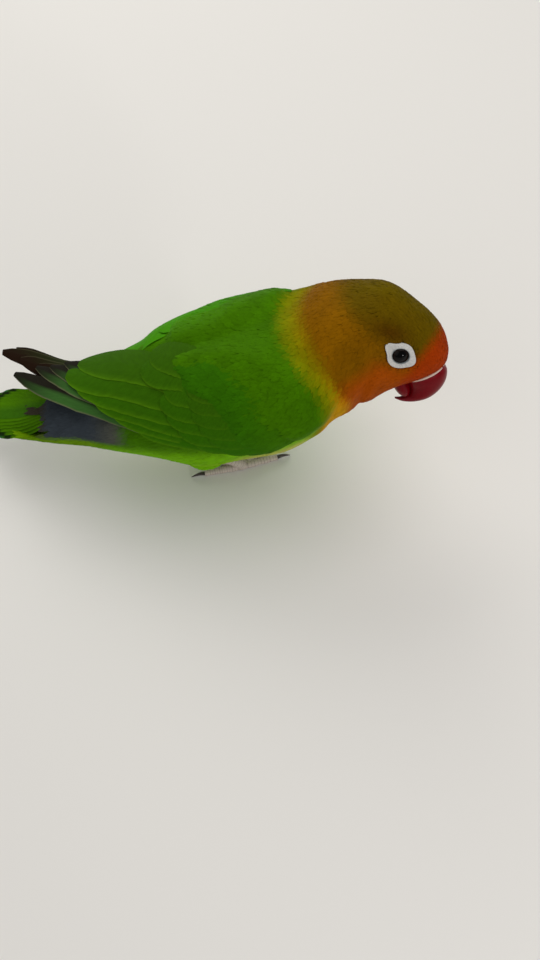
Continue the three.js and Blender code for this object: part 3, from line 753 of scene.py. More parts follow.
def ringOut(name, ahead, up):
    # height of the bare ring over the eye's front, level at the lids and flush with the head at its edge
    ahead, up = np.broadcast_arrays(ahead, up)
    angle = np.arctan2(up, ahead)
    inner, outer = oval(eye["opening"], angle), ringReach(angle)
    share = np.clip((np.hypot(ahead, up) - inner) / (outer - inner), 0, 1)
    tree, out = ringTrees[name]
    head = [out[tree.find((a, b, 0))[1]] for a, b in zip(ahead.ravel(), up.ravel())]
    return lerp(-0.25, np.array(head).reshape(ahead.shape) + 0.14, smoothStep(0.1, 1, share))


def scatter(form, low, high, spacingAt, seed, count, keep):
    # roots spread evenly over a form, no two nearer than the spacing there
    rng = np.random.default_rng(seed)
    place = rng.uniform(low, high, count)
    angle = rng.uniform(-math.pi, math.pi, count)
    along, about = slopes(form, place, angle)
    spacing = spacingAt(place, angle)
    weight = np.linalg.norm(np.cross(along, about), axis=-1) / spacing**2
    chosen = rng.random(count) < weight / np.percentile(weight, 99)
    place, angle, spacing = place[chosen], angle[chosen], spacing[chosen]
    points = pointOn(form, place, angle)
    chosen = keep(points)
    place, angle, spacing, points = place[chosen], angle[chosen], spacing[chosen], points[chosen]
    tree = kdtree.KDTree(len(points))
    for i, point in enumerate(points):
        tree.insert(point, i)
    tree.balance()
    alive = np.ones(len(points), bool)
    taken = []
    for i in range(len(points)):
        if alive[i]:
            taken.append(i)
            for _, j, _ in tree.find_range(points[i], spacing[i]):
                alive[j] = False
    return place[taken], angle[taken]


# Small feathers: edges and ridge across, rows along, where they are widest and how blunt they end
tuft = {
    "across": np.array([-1, 0, 1], float),
    "rows": np.array([0, 0.3, 0.58, 0.82, 1]),
    "widest": 0.5,
    "blunt": 0.2,
    "varied": 0.06,  # from feather to feather, in brightness
    "patch": 0.0015,  # half the size of its patch of the unwrap
}


def stepsFor(v, along, about):
    # how far to go in place and in angle to move by v over a form with these slopes
    aa, rr, ar = (np.sum(u * w, -1) for u, w in ((along, along), (about, about), (along, about)))
    va, vr = np.sum(v * along, -1), np.sum(v * about, -1)
    det = aa * rr - ar * ar
    return (va * rr - vr * ar) / det, (vr * aa - va * ar) / det


def combed(form, place, angle, length, aim, lieAt):
    # the line that each feather follows back over the form, and the way across it, row by row
    t = tuft["rows"]
    found = []
    for k in range(len(t)):
        along, about = slopes(form, place, angle)
        lie = -unit(along)
        if lieAt is not None:
            lie = lieAt(pointOn(form, place, angle), lie)
        out = unit(np.cross(along, about))
        side = unit(np.cross(out, lie))
        lie = unit(lie * np.cos(aim)[:, None] + side * np.sin(aim)[:, None])
        side = unit(np.cross(out, lie))
        found.append((place, angle, *stepsFor(side, along, about)))
        move = stepsFor(lie, along, about)
        step = length * (t[min(k + 1, len(t) - 1)] - t[k])
        place, angle = place + move[0] * step, angle + move[1] * step
    return [np.stack(values, 1)[..., None] for values in zip(*found)]


def layFeathers(name, form, roots, sizes, topAt, seed, lieAt=None, colourAt=plumageAt):
    # feathers combed over a form from their roots, as one mesh of closed vanes
    rng = np.random.default_rng(seed)
    place, angle = roots
    length, half, depth = sizes
    n = len(place)
    length = length * rng.uniform(0.85, 1.15, n)
    half = half * rng.uniform(0.9, 1.12, n)
    p, a, acrossPlace, acrossAngle = combed(form, place, angle, length, rng.normal(0, 0.1, n), lieAt)
    across, t = tuft["across"], tuft["rows"]
    narrow = ((t - tuft["widest"]) / (1 - tuft["widest"])).clip(0)
    widthAt = np.minimum(1, 0.5 + 1.6 * t) * np.sqrt(np.maximum(1 - narrow**2, tuft["blunt"] ** 2))
    u = across * widthAt[:, None] * half[:, None, None]
    p, a = p + acrossPlace * u, a + acrossAngle * u
    top = topAt(pointOn(form, p, a), p, a) + rng.normal(0, 0.03, n)[:, None, None]
    rise = 1 - (1 - t) ** 1.6
    height = top - depth[:, None, None] * (1 - rise)[:, None]
    height = height - coat["cup"] * across**2 * np.minimum(1, half[:, None, None])
    height = height - 0.25 * (t < 0.01)[:, None]  # the root sinks into the skin
    points = pointOn(form, p, a, height)
    grain = rng.random(n)
    tint = colourAt(points[:, -2].mean(1))
    tint = tint * (1 + tuft["varied"] * rng.uniform(-1, 1, (n, 1)))
    # painted shade: each feather darker towards its root, where the feathers over it shade it
    tint = tint[:, None, :] * (0.85 + 0.15 * smoothStep(0, 0.6, t))[None, :, None]
    tint = np.repeat(tint[:, :, None, :], len(across), 2)
    vane = np.stack(np.broadcast_arrays(across[None, None], t[None, :, None], grain[:, None, None]), -1)
    patch = np.stack([angle / (2 * math.pi) + 0.5, place / lastPlace], -1)[:, None, None, :] * 0.99 + 0.005
    uv = patch + np.stack(np.broadcast_arrays(across[None, :], t[:, None] * 2 - 1), -1)[None] * tuft["patch"]
    loops, starts = loftFaces(points)
    flat = {"tint": tint.reshape(-1, 3), "vane": vane.reshape(-1, 3)}
    return newMesh(name, points.reshape(-1, 3), loops, starts, flat, uv.reshape(-1, 2))


def faceLie(here, lie):
    # feathers round an eye part to pass the bare ring
    room, away = roomToEye(here)
    toward = np.maximum(0, -np.sum(unit(away) * lie, -1))
    push = toward * smoothStep(3.0, 0.2, room)
    return unit(lie + away * (push * 2.2)[:, None])


# Skin: the body, neck and head with the folded wings' flesh and the thighs, as one closed surface
skin = {
    "around": 56,
    "along": 150,
    "voxel": 0.0007,
    "shade": 0.85,  # painted shade: darker than the feathers over it, for the shade between them
}
thigh = {
    "run": [  # x, y, z, tilt, radius, from the ankle up
        (-16.3, 10, 9.3, -108, 3.2),
        (-18, 10.8, 12, -108, 5.6),
        (-19.5, 11, 16, -100, 7.8),
        (-20, 9.5, 21, -90, 8.6),
    ],
    "sunk": 1.3,  # depth of the skin under the feathers
    "seed": 40,
    "tries": 60000,
    "free": 0.96,  # feathers start where the thigh is outside this share of the body
    "back": -0.9,  # how strongly they sweep back
    # at the ankle, and how much more at each section above it
    "spacing": (0.5, 0.1),
    "length": (3.4, 0.6),
    "half": (0.5, 0.06),
    "depth": (0.6, 0.1),
}


def thighForm(sign):
    rows = [(x, y * sign, z, 0, tilt, 0, r, r, r) for x, y, z, tilt, r in thigh["run"]]
    return makeForm([straightRow(row) for row in rows])


thighForms = {name: thighForm(sign) for name, sign in wingSign.items()}


def gridOf(form, low, high, rows, around, heightAt):
    place = np.linspace(low, high, rows)[:, None]
    angle = np.linspace(0, 2 * math.pi, around, endpoint=False)[None, :]
    return pointOn(form, place, angle, heightAt(pointOn(form, place, angle), place, angle))


def wingPad(name):
    # flesh of a folded wing, sunk in the body's side
    rings = []
    share = np.linspace(0, 1, 14)
    bulge = 0.4 + 0.6 * np.sin(math.pi * share) ** 0.5
    for x in np.linspace(16.5, -31, 40):
        top, low, thick = wingEdges(name, x)
        angle = np.radians(top + (low - top) * share) * wingSign[name]
        at = placeAt(wingForms[name], x)
        upper = pointOn(wingForms[name], at, angle, wing["under"] + (thick * bulge - 1.4) * 0.9)
        lower = pointOn(wingForms[name], at, angle[::-1], -4.5)
        rings.append(np.concatenate([upper, lower]))
    return np.array(rings)


def skinDepth(points, place, angle):
    # deeper at its rear end, where the tail grows out
    return fluff(points, place, angle) - coatAt("depth", place) - 2.2 * smoothStep(4.2, 3.2, place)


def buildSkin():
    parts = [
        gridOf(birdForm, 3.1, lastPlace, skin["along"], skin["around"], skinDepth),
        wingPad("left"),
        wingPad("right"),
    ]
    for form in thighForms.values():
        parts.append(gridOf(form, 0, 3, 16, 24, lambda _, p, a: p * 0 - thigh["sunk"]))
    piece = newMesh("skin", *joined(parts), {})
    remesh = piece.modifiers.new("oneSkin", "REMESH")
    remesh.mode = "VOXEL"
    remesh.voxel_size = skin["voxel"]
    soft = piece.modifiers.new("soft", "SMOOTH")
    soft.factor = 0.6
    soft.iterations = 6
    bpy.context.view_layer.update()
    whole = bpy.data.meshes.new_from_object(piece.evaluated_get(bpy.context.evaluated_depsgraph_get()))
    piece.modifiers.clear()
    piece.data = whole
    whole.name = "skin"
    spots = np.zeros(len(whole.vertices) * 3, np.float32)
    whole.vertices.foreach_get("co", spots)
    spots = spots.reshape(-1, 3) / mm - shift
    for name in wingSign:
        local = toEye(spots, name)
        reach = np.hypot(local[:, 1], local[:, 2]) - ringReach(np.arctan2(local[:, 2], local[:, 1]))
        near = np.flatnonzero((reach < 0.6) & (local[:, 0] > -6))
        limit = ringOut(name, local[near, 1], local[near, 2]) - 0.6 + 0.5 * smoothStep(-0.1, 0.6, reach[near])
        local[near, 0] = np.minimum(local[near, 0], limit)
        spots[near] = fromEye(local[near], name)
    whole.vertices.foreach_set("co", toWorld(spots).astype(np.float32).ravel())
    # the skin takes the plumage's colour with painted shade, where it shows between the feathers
    markPoints(whole, "tint", plumageAt(spots) * skin["shade"])
    markPoints(whole, "vane", spots * 0.3)
    whole.shade_smooth()
    return piece


body = rideRoot(buildSkin(), softCoat, "plumage_green", "torso", "neck", "head", "leg_left", "leg_right")
print("skin", len(body.data.polygons))


def keepOnBody(points):
    # feathers start outside the wings and the bare rings, and ahead of the tail
    room, _ = roomToEye(points)
    x, y, z = points.T
    # the rump ends in a point over the middle of the tail, and the coverts below the tail reach further
    rear = -63.5 - 6 * np.exp(-(((y + 1.9) / 3) ** 2)) + 1.2 * np.sin(y * 2.1)
    rear = lerp(-72.5, rear, smoothStep(-1.5, 2.5, aboveMiddle(x, z)))
    return ~underWing(points) & (room > 0.05) & (x > rear)


def spacingOnBody(place, angle):
    return coatAt("spacing", place)


def bodyTop(points, place, angle):
    return mantleLift(points) + fluff(points, place, angle)


roots = scatter(birdForm, 2.6, lastPlace - 0.01, spacingOnBody, coat["seed"], coat["tries"], keepOnBody)
print("roots", len(roots[0]))
zones = [
    ("coat_rump", 0, 6.2),
    ("coat_flanks", 6.2, 7.8),
    ("coat_mantle", 7.8, 9.2),
    ("coat_breast", 9.2, 11.6),
    ("coat_neck", 11.6, 13.2),
    ("coat_head", 13.2, 14.6),
    ("coat_face", 14.6, 20),
]
for i, (name, low, high) in enumerate(zones):
    chosen = (roots[0] >= low) & (roots[0] < high)
    some = roots[0][chosen], roots[1][chosen]
    sizes = [coatAt(key, some[0]) for key in ("length", "half", "depth")]
    room, _ = roomToEye(pointOn(birdForm, *some))
    sizes[0] = sizes[0] * lerp(0.5, 1, smoothStep(0, 2.4, room))
    piece = layFeathers(name, birdForm, some, sizes, bodyTop, coat["zoneSeed"] + i, faceLie)
    rideRoot(piece, softCoat, "plumage_green" if low < 11 else "plumage_ochre")
    print(name, len(some[0]), len(piece.data.polygons))


def thighLie(here, lie):
    # the thigh's feathers sweep back as well as down
    return unit(lie + np.array([thigh["back"], 0, 0]))


def thighColour(points):
    return mottled(mixed(marking["flank"], marking["belly"], smoothStep(16, 8, points[..., 2]) * 0.5), points)


def onThigh(points):
    centre, wide, down = (valueAt(birdForm, key, points[:, 0]) for key in ("centre", "wide", "down"))
    reach = np.hypot((points[:, 1] - centre[:, 1]) / wide, (points[:, 2] - centre[:, 2]) / down)
    return reach > thigh["free"]


def thighSize(key, place):
    low, more = thigh[key]
    return low + more * place


def flatTop(points, place, angle):
    return place * 0


for i, (name, form) in enumerate(thighForms.items()):
    seed = thigh["seed"] + i
    roots = scatter(form, 0.02, 2.9, lambda p, a: thighSize("spacing", p), seed, thigh["tries"], onThigh)
    sizes = [thighSize(key, roots[0]) for key in ("length", "half", "depth")]
    piece = layFeathers(f"coat_thigh_{name}", form, roots, sizes, flatTop, seed + 10, thighLie, thighColour)
    rideRoot(piece, softCoat, "plumage_yellow_green")
print("thighs done")


def bigVanes(name, specs, slotName, nodes, rows=26, columns=13, sharp=50):
    # large feathers, each given as a function of place along, distance across and height
    across = np.concatenate([np.linspace(-1, 1, columns), np.linspace(1, -1, columns)[1:-1]])
    under = np.array([0] * columns + [1] * (columns - 2))
    grids, tints, vanes, uvs = [], [], [], []
    t = np.linspace(0, 1, rows)[:, None]
    for i, spec in enumerate(specs):
        taper = spec["taper"]
        tip = np.sqrt(np.clip(1 - ((t - taper) / (1.01 - taper)).clip(0) ** 2, 0.0, 1))
        width = np.minimum(1, 0.8 + 0.8 * t) * tip * spec["half"]
        width = np.maximum(width, 0.12)
        rng = np.random.default_rng(spec["seed"])
        wave = 1 + 0.025 * np.sin(t * 9 + rng.uniform(0, 6)) + 0.015 * rng.normal(0, 1, t.shape)
        u = across[None, :] * width * wave
        thin = spec["thick"] * (1 - 0.75 * across**2)
        shaft = 0.16 * np.exp(-((u / 0.28) ** 2)) * (1 - 0.7 * t)
        high = spec["tilt"] * u - under * thin - spec["cup"] * across**2 + shaft * (1 - under)
        grids.append(spec["at"](np.broadcast_to(t, u.shape), u, high))
        tints.append(spec["colour"](np.broadcast_to(t, u.shape), np.broadcast_to(across, u.shape)))
        vanes.append(np.stack(np.broadcast_arrays(across[None, :], t - 0.12 * np.abs(across), i * 0.37), -1))
        column = (i % 8 + 0.5 + 0.42 * across[None, :] * np.where(under, 0.98, 1)) / 8
        band = (i // 8 + 0.5 * under[None, :] + 0.02 + 0.46 * t) / (len(specs) // 8 + 1)
        uvs.append(np.stack(np.broadcast_arrays(column, band), -1))
    grids, tints, vanes, uvs = (np.array(v) for v in (grids, tints, vanes, uvs))
    loops, starts = loftFaces(grids)
    flat = {"tint": tints.reshape(-1, 3), "vane": vanes.reshape(-1, 3)}
    piece = newMesh(name, grids.reshape(-1, 3), loops, starts, flat, uvs.reshape(-1, 2), sharp)
    return rideRoot(piece, vaneCoat, slotName, *nodes)


def featherOver(form, sign, root, tip, bow, heightAt):
    # places of a large feather that lies over a form from root to tip
    def at(t, across, high):
        x = lerp(root[0], tip[0], t)
        angle = np.radians(lerp(root[1], tip[1], t) + 4 * bow * t * (1 - t))
        radius = (valueAt(form, "wide", x) + valueAt(form, "up", x)) / 2
        behind = tip[0] - root[0]
        sweep = math.radians(tip[1] - root[1]) * radius
        length = np.hypot(behind, sweep)
        placed = placeAt(form, x + across * sweep / length)
        turned = angle - across * behind / (length * radius)
        return pointOn(form, placed, sign * turned, heightAt(t) + high)

    return at


wingPaint = {
    "green": paint("#306604"),
    "upperGreensAndPaintedLight": {"left": paint("#469408"), "right": paint("#345a08")},  # towards the upper edge; on the left wing, the far side, it is painted light
    # the primaries' ground, and how much green and how much pale edge shows on it
    "primaries": {"left": (paint("#1e100c"), 0.15, 0.3), "right": (paint("#1c1a16"), 0.9, 0.8)},
    "primaryGreen": paint("#3a652c"),
    "edge": paint("#6b6a50"),
    "greenEdge": paint("#4f7d0c"),
    "edges": {"secondaries": 0.8, "coverts": 0.5, "medians": 0.3},
}


def primaryColour(name):
    base, green, edge = wingPaint["primaries"][name]

    def at(t, across):
        colour = np.broadcast_to(base, t.shape + (3,))
        outer = smoothStep(0.05, 0.25, across) * smoothStep(1.0, 0.7, t)
        colour = mixed(colour, wingPaint["primaryGreen"], outer * green)
        return mixed(colour, wingPaint["edge"], smoothStep(0.86, 0.97, across) * edge)

    return at


def greenColour(name, tier, share):
    def at(t, across):
        # the upper feathers take the upper edge's green, which on the left wing is painted light
        colour = mixed(wingPaint["green"], wingPaint["upperGreensAndPaintedLight"][name], np.full(t.shape, share))
        return mixed(colour, wingPaint["greenEdge"], smoothStep(0.75, 1.0, across) * wingPaint["edges"][tier])

    return at


def alongList(places, share):
    places = np.array(places, float)
    at = share * (len(places) - 1)
    i = min(int(at), len(places) - 2)
    return curved(places, np.array(i), np.array(at - i))


def tierOf(name, tier):
    # places of one tier's feathers, from the lowest to the highest
    rootLine, tips, bow = wing[name][tier]
    half, taper, thick, tilt, low, high, climb = wing["tiers"][tier]
    specs = []
    for k, tip in enumerate(tips):
        share = k / (len(tips) - 1)
        root = alongList(rootLine, share)

        def heightAt(t, low=low + 0.05 * k, high=high + climb * k):
            return lerp(low, high, np.minimum(1, 2.5 * t))

        spec = {"half": half, "taper": taper, "thick": thick, "tilt": tilt + wing[name]["tilt"], "cup": 0.15}
        spec["seed"] = wing["vaneSeed"] + k
        spec["at"] = featherOver(wingForms[name], wingSign[name], root, tip, bow, heightAt)
        if tier == "primaries":
            spec["colour"] = primaryColour(name)
        else:
            spec["colour"] = greenColour(name, tier, share * 0.8)
        specs.append(spec)
    return specs


for name in wingSign:
    flight = tierOf(name, "primaries") + tierOf(name, "secondaries")
    bigVanes(f"wing_{name}_flight", flight, "plumage_wing", [f"wing_{name}"])
    bigVanes(f"wing_{name}_greater_coverts", tierOf(name, "coverts"), "plumage_wing", [])
    bigVanes(f"wing_{name}_median_coverts", tierOf(name, "medians"), "plumage_wing", [])


def wingTop(name):
    def at(points, _, __):
        x = points[..., 0]
        angle = angleAbout(wingForms[name], points) * wingSign[name]
        top, low, _ = wingEdges(name, x)
        share = np.clip((angle - top) / (low - top), 0, 1)
        bulge = 0.5 + 0.5 * np.sin(math.pi * share) ** 0.5
        base = np.interp(x, *np.array(wing["softHeight"]).T)
        past = np.clip((angle - low) / 10, 0, 1)
        edge = softEdgeAt(name, angle)
        return base * bulge + 0.3 - 3 * past - 1.8 * smoothStep(edge + 4, edge - 3, x)

    return at


def onWing(name):
    def keep(points):
        x = points[..., 0]
        angle = angleAbout(wingForms[name], points) * wingSign[name]
        top, low, _ = wingEdges(name, x)
        share = (angle - top) / (low - top)
        edge = softEdgeAt(name, angle) + 3
        lowest = 1.15 + 0.25 * smoothStep(-4, 14, x)
        return (x > edge) & (x < wing[name]["ahead"]) & (share > 0.12) & (share < lowest)

    return keep


def wingColour(points):
    shade = smoothStep(-12, 12, points[..., 0])
    # painted light: the small coverts lighter towards the bird's left, the far side
    green = mixed(wingPaint["green"], wingPaint["upperGreensAndPaintedLight"]["left"], smoothStep(2, 14, points[..., 1]) * 0.7)
    return mottled(mixed(green, marking["mantle"], shade), points)


for k, name in enumerate(wingSign):
    form = wingForms[name]
    low, high = placeAt(form, wing["coatFrom"]), len(form["wide"]) - 1.02

    def wingSize(key, place):
        return lerp(*wing[key], (place - low) / (high - low))

    seed = wing["seed"] + k
    roots = scatter(form, low, high, lambda p, a: wingSize("spacing", p), seed, wing["tries"], onWing(name))
    sizes = [wingSize(key, roots[0]) for key in ("length", "half", "depth")]
    label = f"wing_{name}_small_coverts"
    piece = layFeathers(label, form, roots, sizes, wingTop(name), seed + 5, None, wingColour)
    rideRoot(piece, softCoat, "plumage_wing")
print("wings done")

# Tail: twelve feathers in a closed fan, the middle pair on top
tail = {
    "root": (-66, -1.0, 21.9),
    "raised": 4.0,  # the bases lie higher, under the coverts
    "turn": (-4, -11.5, 12),
    "length": 27,
    "pairs": 6,
    "rootStep": 0.7,
    "tipStep": 1.1,
    "drop": 0.34,
    "shorter": 0.3,
    "half": 2.9,
    "thick": 0.28,
    "taper": 0.7,
    "tilt": 0,
    "cup": 0.1,
    "seed": 120,
    "green": paint("#3a6a10"),
    "lime": paint("#4a7c08"),
    "band": paint("#101a14"),
    "tip": paint("#2f6a3a"),
    "orange": paint("#7c3608"),
}
tailMatrix = np.array(turnOf(*tail["turn"]).to_matrix())


def tailColour(i):
    def at(t, across):
        colour = mixed(tail["green"], tail["lime"], smoothStep(-0.2, 0.8, across))
        if i > 0:
            inner = smoothStep(0.1, -0.3, across) * smoothStep(0.4, 0.5, t) * smoothStep(0.72, 0.66, t)
            colour = mixed(colour, tail["orange"], inner)
        band = smoothStep(0.7, 0.76, t) * smoothStep(0.9, 0.85, t)
        colour = mixed(colour, tail["band"], band * (0.9 if i else 0.4))
        return mixed(colour, tail["tip"], smoothStep(0.86, 0.92, t))

    return at


def tailSpecs():
    specs = []
    for sign in (1, -1):
        for i in range(tail["pairs"]):
            length = tail["length"] - tail["shorter"] * i * i
            level = 0.6 - tail["drop"] * (i + (0 if sign > 0 else 0.5))

            def at(t, u, high, sign=sign, i=i, length=length, level=level):
                across = sign * ((i + 0.5) * lerp(tail["rootStep"], tail["tipStep"], t) + u)
                raised = tail["raised"] * (1 - smoothStep(0, 0.55, t))
                local = np.stack([-length * t, across, level + raised + high], -1)
                return local @ tailMatrix.T + np.array(tail["root"])

            spec = {key: tail[key] for key in ("half", "taper", "thick", "tilt", "cup")}
            specs.append({**spec, "at": at, "seed": tail["seed"] + i, "colour": tailColour(i)})
    return specs


bigVanes("tail_feathers", tailSpecs(), "plumage_tail", ["tail"])
print("tail done")

# Bill: pairs of ridge and cutting edge in the head's middle plane, with the half width
bill = {
    "upper": [
        (14.5, 0.3, 7.4, -8.7, 5.8),
        (16.3, -0.9, 8.3, -9.4, 5.4),
        (17.5, -3.6, 9.3, -10.1, 4.6),
        (17.5, -7.0, 10.0, -10.9, 3.8),
        (16.2, -10.4, 10.3, -12.0, 3.0),
        (13.6, -13.2, 10.0, -13.2, 2.0),
        (10.6, -14.9, 9.2, -14.3, 1.1),
        (8.1, -15.4, 7.9, -15.0, 0.35),
    ],
    "lower": [
        (8.4, -8.2, 4.8, -11.6, 4.2),
        (9.6, -9.3, 6.3, -12.6, 3.8),
        (10.6, -10.7, 7.8, -13.3, 3.0),
        (10.9, -12.0, 9.2, -13.5, 2.0),
        (10.7, -12.8, 9.9, -13.4, 0.8),
    ],
    # how far ahead of its first row each half starts, and where the cere starts and ends
    "upperStart": 0.0,
    "lowerStart": -0.4,
    "around": 48,
    "along": 60,
    "cereStart": -0.5,
    "cereEnd": 0.2,
    # share of the cere's length, and how far it swells there
    "cereSwell": [
        (0.0, -0.8), (0.0, 0.0), (0.1, 0.15), (0.3, 0.25), (0.5, 0.28), (0.7, 0.25), (0.9, 0.12),
        (1, -0.1), (1, -1),
    ],
    "nostrilAngle": 27,
    "red": paint("#6e000c"),
    "tip": paint("#7c2832"),
    "base": paint("#760c1a"),
    # painted shade in the nostril's opening
    "cere": paint("#d8c2b4"),
    "nostrilShade": paint("#3a1c18"),
}
baseTilt = math.radians(shape["head"][-1][2])
baseAhead = np.array([math.cos(baseTilt), 0, -math.sin(baseTilt)])


def billGrid(rows, along, around, grow=0.0):
    # oval rings between the ridge and the cutting edge
    rows = np.array(rows, float)
    at = np.linspace(0, len(rows) - 1, along)
    i = np.minimum(at.astype(int), len(rows) - 2)
    rx, rz, ex, ez, wide = curved(rows, i, at - i).T[..., None]
    angle = np.linspace(0, 2 * math.pi, around, endpoint=False)[None, :]
    half = np.hypot(rx - ex, rz - ez) / 2
    high = (half + grow) * np.cos(angle) / (2 * half)
    across = (wide + grow) * np.sin(angle)
    return np.stack([(rx + ex) / 2 + (rx - ex) * high, across, (rz + ez) / 2 + (rz - ez) * high], -1)


def slid(row, along):
    # a row of the bill moved ahead from its base
    rx, rz, ex, ez, wide = row
    dx, dz = baseAhead[0] * along, baseAhead[2] * along
    return rx + dx, rz + dz, ex + dx, ez + dz, wide


def closedLoft(name, grid, tint):
    return newMesh(name, *joined([grid]), {"tint": tint.reshape(-1, 3)}, None, 60)


billHorn = hornFinish("billHorn", 0.3, 900, 0.2, 0.00003, Specular_IOR_Level=0.1)
softSkin = hornFinish("bareSkin", 0.5, 2600, 0.12, 0.00012)
scaleSkin = hornFinish("footScale", 0.55, 1800, 0.2, 0.0001)
clawHorn = hornFinish("clawHorn", 0.3, 1500, 0.2, 0.00004)
eyeGloss = hornFinish("eyeGloss", 0.03, 1200, 0.1, 0.000001, Specular_IOR_Level=0.12)

upperRows = [slid(bill["upper"][0], bill["upperStart"])] + bill["upper"][1:]
grid = billGrid(upperRows, bill["along"], bill["around"])
toTip = smoothStep(-11.5, -15.5, grid[..., 2])
fromBase = smoothStep(0, 0.12, np.linspace(0, 1, grid.shape[0]))[:, None] * np.ones(grid.shape[:2])
tint = mixed(mixed(bill["base"], bill["red"], fromBase), bill["tip"], toTip * 0.8)
upper = closedLoft("bill_upper_horn", fromHead(grid), tint)
rideRoot(upper, billHorn, "bill_horn", "bill_upper")
lowerRows = [slid(bill["lower"][0], bill["lowerStart"])] + bill["lower"][1:]
grid = billGrid(lowerRows, 30, 40)
tint = np.broadcast_to(bill["red"], grid.shape)
rideRoot(closedLoft("bill_lower_horn", fromHead(grid), tint), billHorn, "bill_horn", "bill_lower")


def buildCere():
    start, end = bill["cereStart"], bill["cereEnd"]
    rings = []
    for along, grow in bill["cereSwell"]:
        row = slid(bill["upper"][0], lerp(start, end, along))
        rings.append(billGrid([row, row], 2, 96, grow)[0])
    grid = np.array(rings)
    tint = np.broadcast_to(bill["cere"], grid.shape).copy()
    for sign in (1, -1):
        angle = sign * math.radians(bill["nostrilAngle"])
        row = slid(bill["upper"][0], lerp(start, end, 0.55))
        middle = billGrid([row, row], 2, 360, 0.25)[0][int(round(math.degrees(angle))) % 360]
        near = np.exp(-(np.linalg.norm(grid - middle, axis=-1) / 0.42) ** 2)
        inward = unit(np.array([10.5, 0, -4.0]) - middle)
        grid = grid + inward * near[..., None] * 0.7
        # painted shade: the nostril's shallow dent darkened as its opening
        tint = mixed(tint, bill["nostrilShade"], near)
    return closedLoft("cere_skin", fromHead(grid), tint)


rideRoot(buildCere(), softSkin, "cere_skin", "cere")
print("bill done")


# Eyes: a dark ball with its cornea, and the bare ring with the lids
def buildEye(name):
    profile = []
    for k in range(41):
        polar = math.pi * k / 40
        bulge = 0.22 * max(0.0, math.cos(polar * 1.7)) if polar < 0.9 else 0
        out = math.cos(polar) * (eye["radius"] + bulge) - eye["radius"]
        profile.append((out, math.sin(polar) * eye["radius"], polar))
    rows = []
    for out, radius, _ in profile[1:-1]:
        angle = np.linspace(0, 2 * math.pi, 64, endpoint=False)
        rows.append(np.stack([np.full(64, out), radius * np.cos(angle), radius * np.sin(angle)], -1))
    grid = np.array(rows)
    polar = np.array([p[2] for p in profile[1:-1]])[:, None] * np.ones((1, 64))
    tint = mixed(eye["pupil"], eye["iris"], smoothStep(0.45, 0.52, polar))
    return closedLoft(f"eye_ball_{name}", fromEye(grid, name), tint)


def buildRing(name):
    profile = [  # share from the lid's opening to the outer edge, height over the ring's surface
        (0.5, -2.4), (0.28, -1.4), (0.02, -0.5), (0.0, -0.25), (0.05, -0.05), (0.14, 0.04), (0.2, -0.04),
        (0.28, 0.02), (0.36, -0.04), (0.46, 0.0), (0.56, -0.04), (0.68, 0.0), (0.8, -0.02), (0.92, -0.02),
        (1.0, -0.06), (1.03, -0.8), (0.8, -2.0),
    ]
    count = 120
    angle = np.linspace(0, 2 * math.pi, count, endpoint=False)
    rng = np.random.default_rng(eye["seed"] + (0 if name == "left" else 1))
    ripple = sum(rng.normal(0, 1) * np.sin(angle * k + rng.uniform(0, 6)) for k in (9, 14, 21, 33)) * 0.02
    rows, tints = [], []
    for share, high in profile:
        reach = lerp(oval(eye["opening"], angle), ringReach(angle), share)
        ahead, up = reach * np.cos(angle), reach * np.sin(angle)
        crease = ripple * math.sin(math.pi * min(1, max(0, share)))
        rows.append(np.stack([ringOut(name, ahead, up) + high + crease, ahead, up], -1))
        tints.append(mixed(eye["lid"], eye["bare"], np.full(count, float(smoothStep(0.04, 0.24, share)))))
    grid, tint = np.array(rows), np.array(tints)
    point = np.arange(grid.shape[0] * count).reshape(grid.shape[0], count)
    turned, below = np.roll(point, -1, 1), np.roll(point, -1, 0)
    loops = np.stack([point, turned, np.roll(turned, -1, 0), below], -1)
    if name == "right":
        loops = loops[..., ::-1]
    loops = loops.reshape(-1)
    flat = {"tint": tint.reshape(-1, 3)}
    starts = np.arange(0, len(loops), 4)
    return newMesh(f"eye_lids_{name}", fromEye(grid, name).reshape(-1, 3), loops, starts, flat)


for name in wingSign:
    rideRoot(buildEye(name), eyeGloss, "eye_dark", f"eye_{name}")
    rideRoot(buildRing(name), softSkin, "bare_skin", f"eye_ring_{name}")
print("eyes done")

# Feet: scaly toes, two ahead and two behind
foot = {
    "shank": [(-16.1, 9.9, 9.6, 1.75), (-13, 9.6, 5.6, 1.35), (-10, 9.3, 3.0, 1.6), (-8.8, 9.3, 1.6, 1.5)],
    "palm": (-9.2, 9.3),
    "sole": 0.9,
    "radius": (1.2, 0.85),
    "toes": [(-17, 12, 3), (-40, 9, 2), (168, 12, 4), (-168, 7.5, 2)],
    "clawLength": 4.2,
    "clawRadii": (0.72, 0.58, 0.36, 0.1),
    "clawRise": (0, 0.3, 0, -0.7),
    "skin": paint("#c9bbb0"),
    "crease": paint("#9c8b80"),
    "claw": paint("#3a302c"),
}


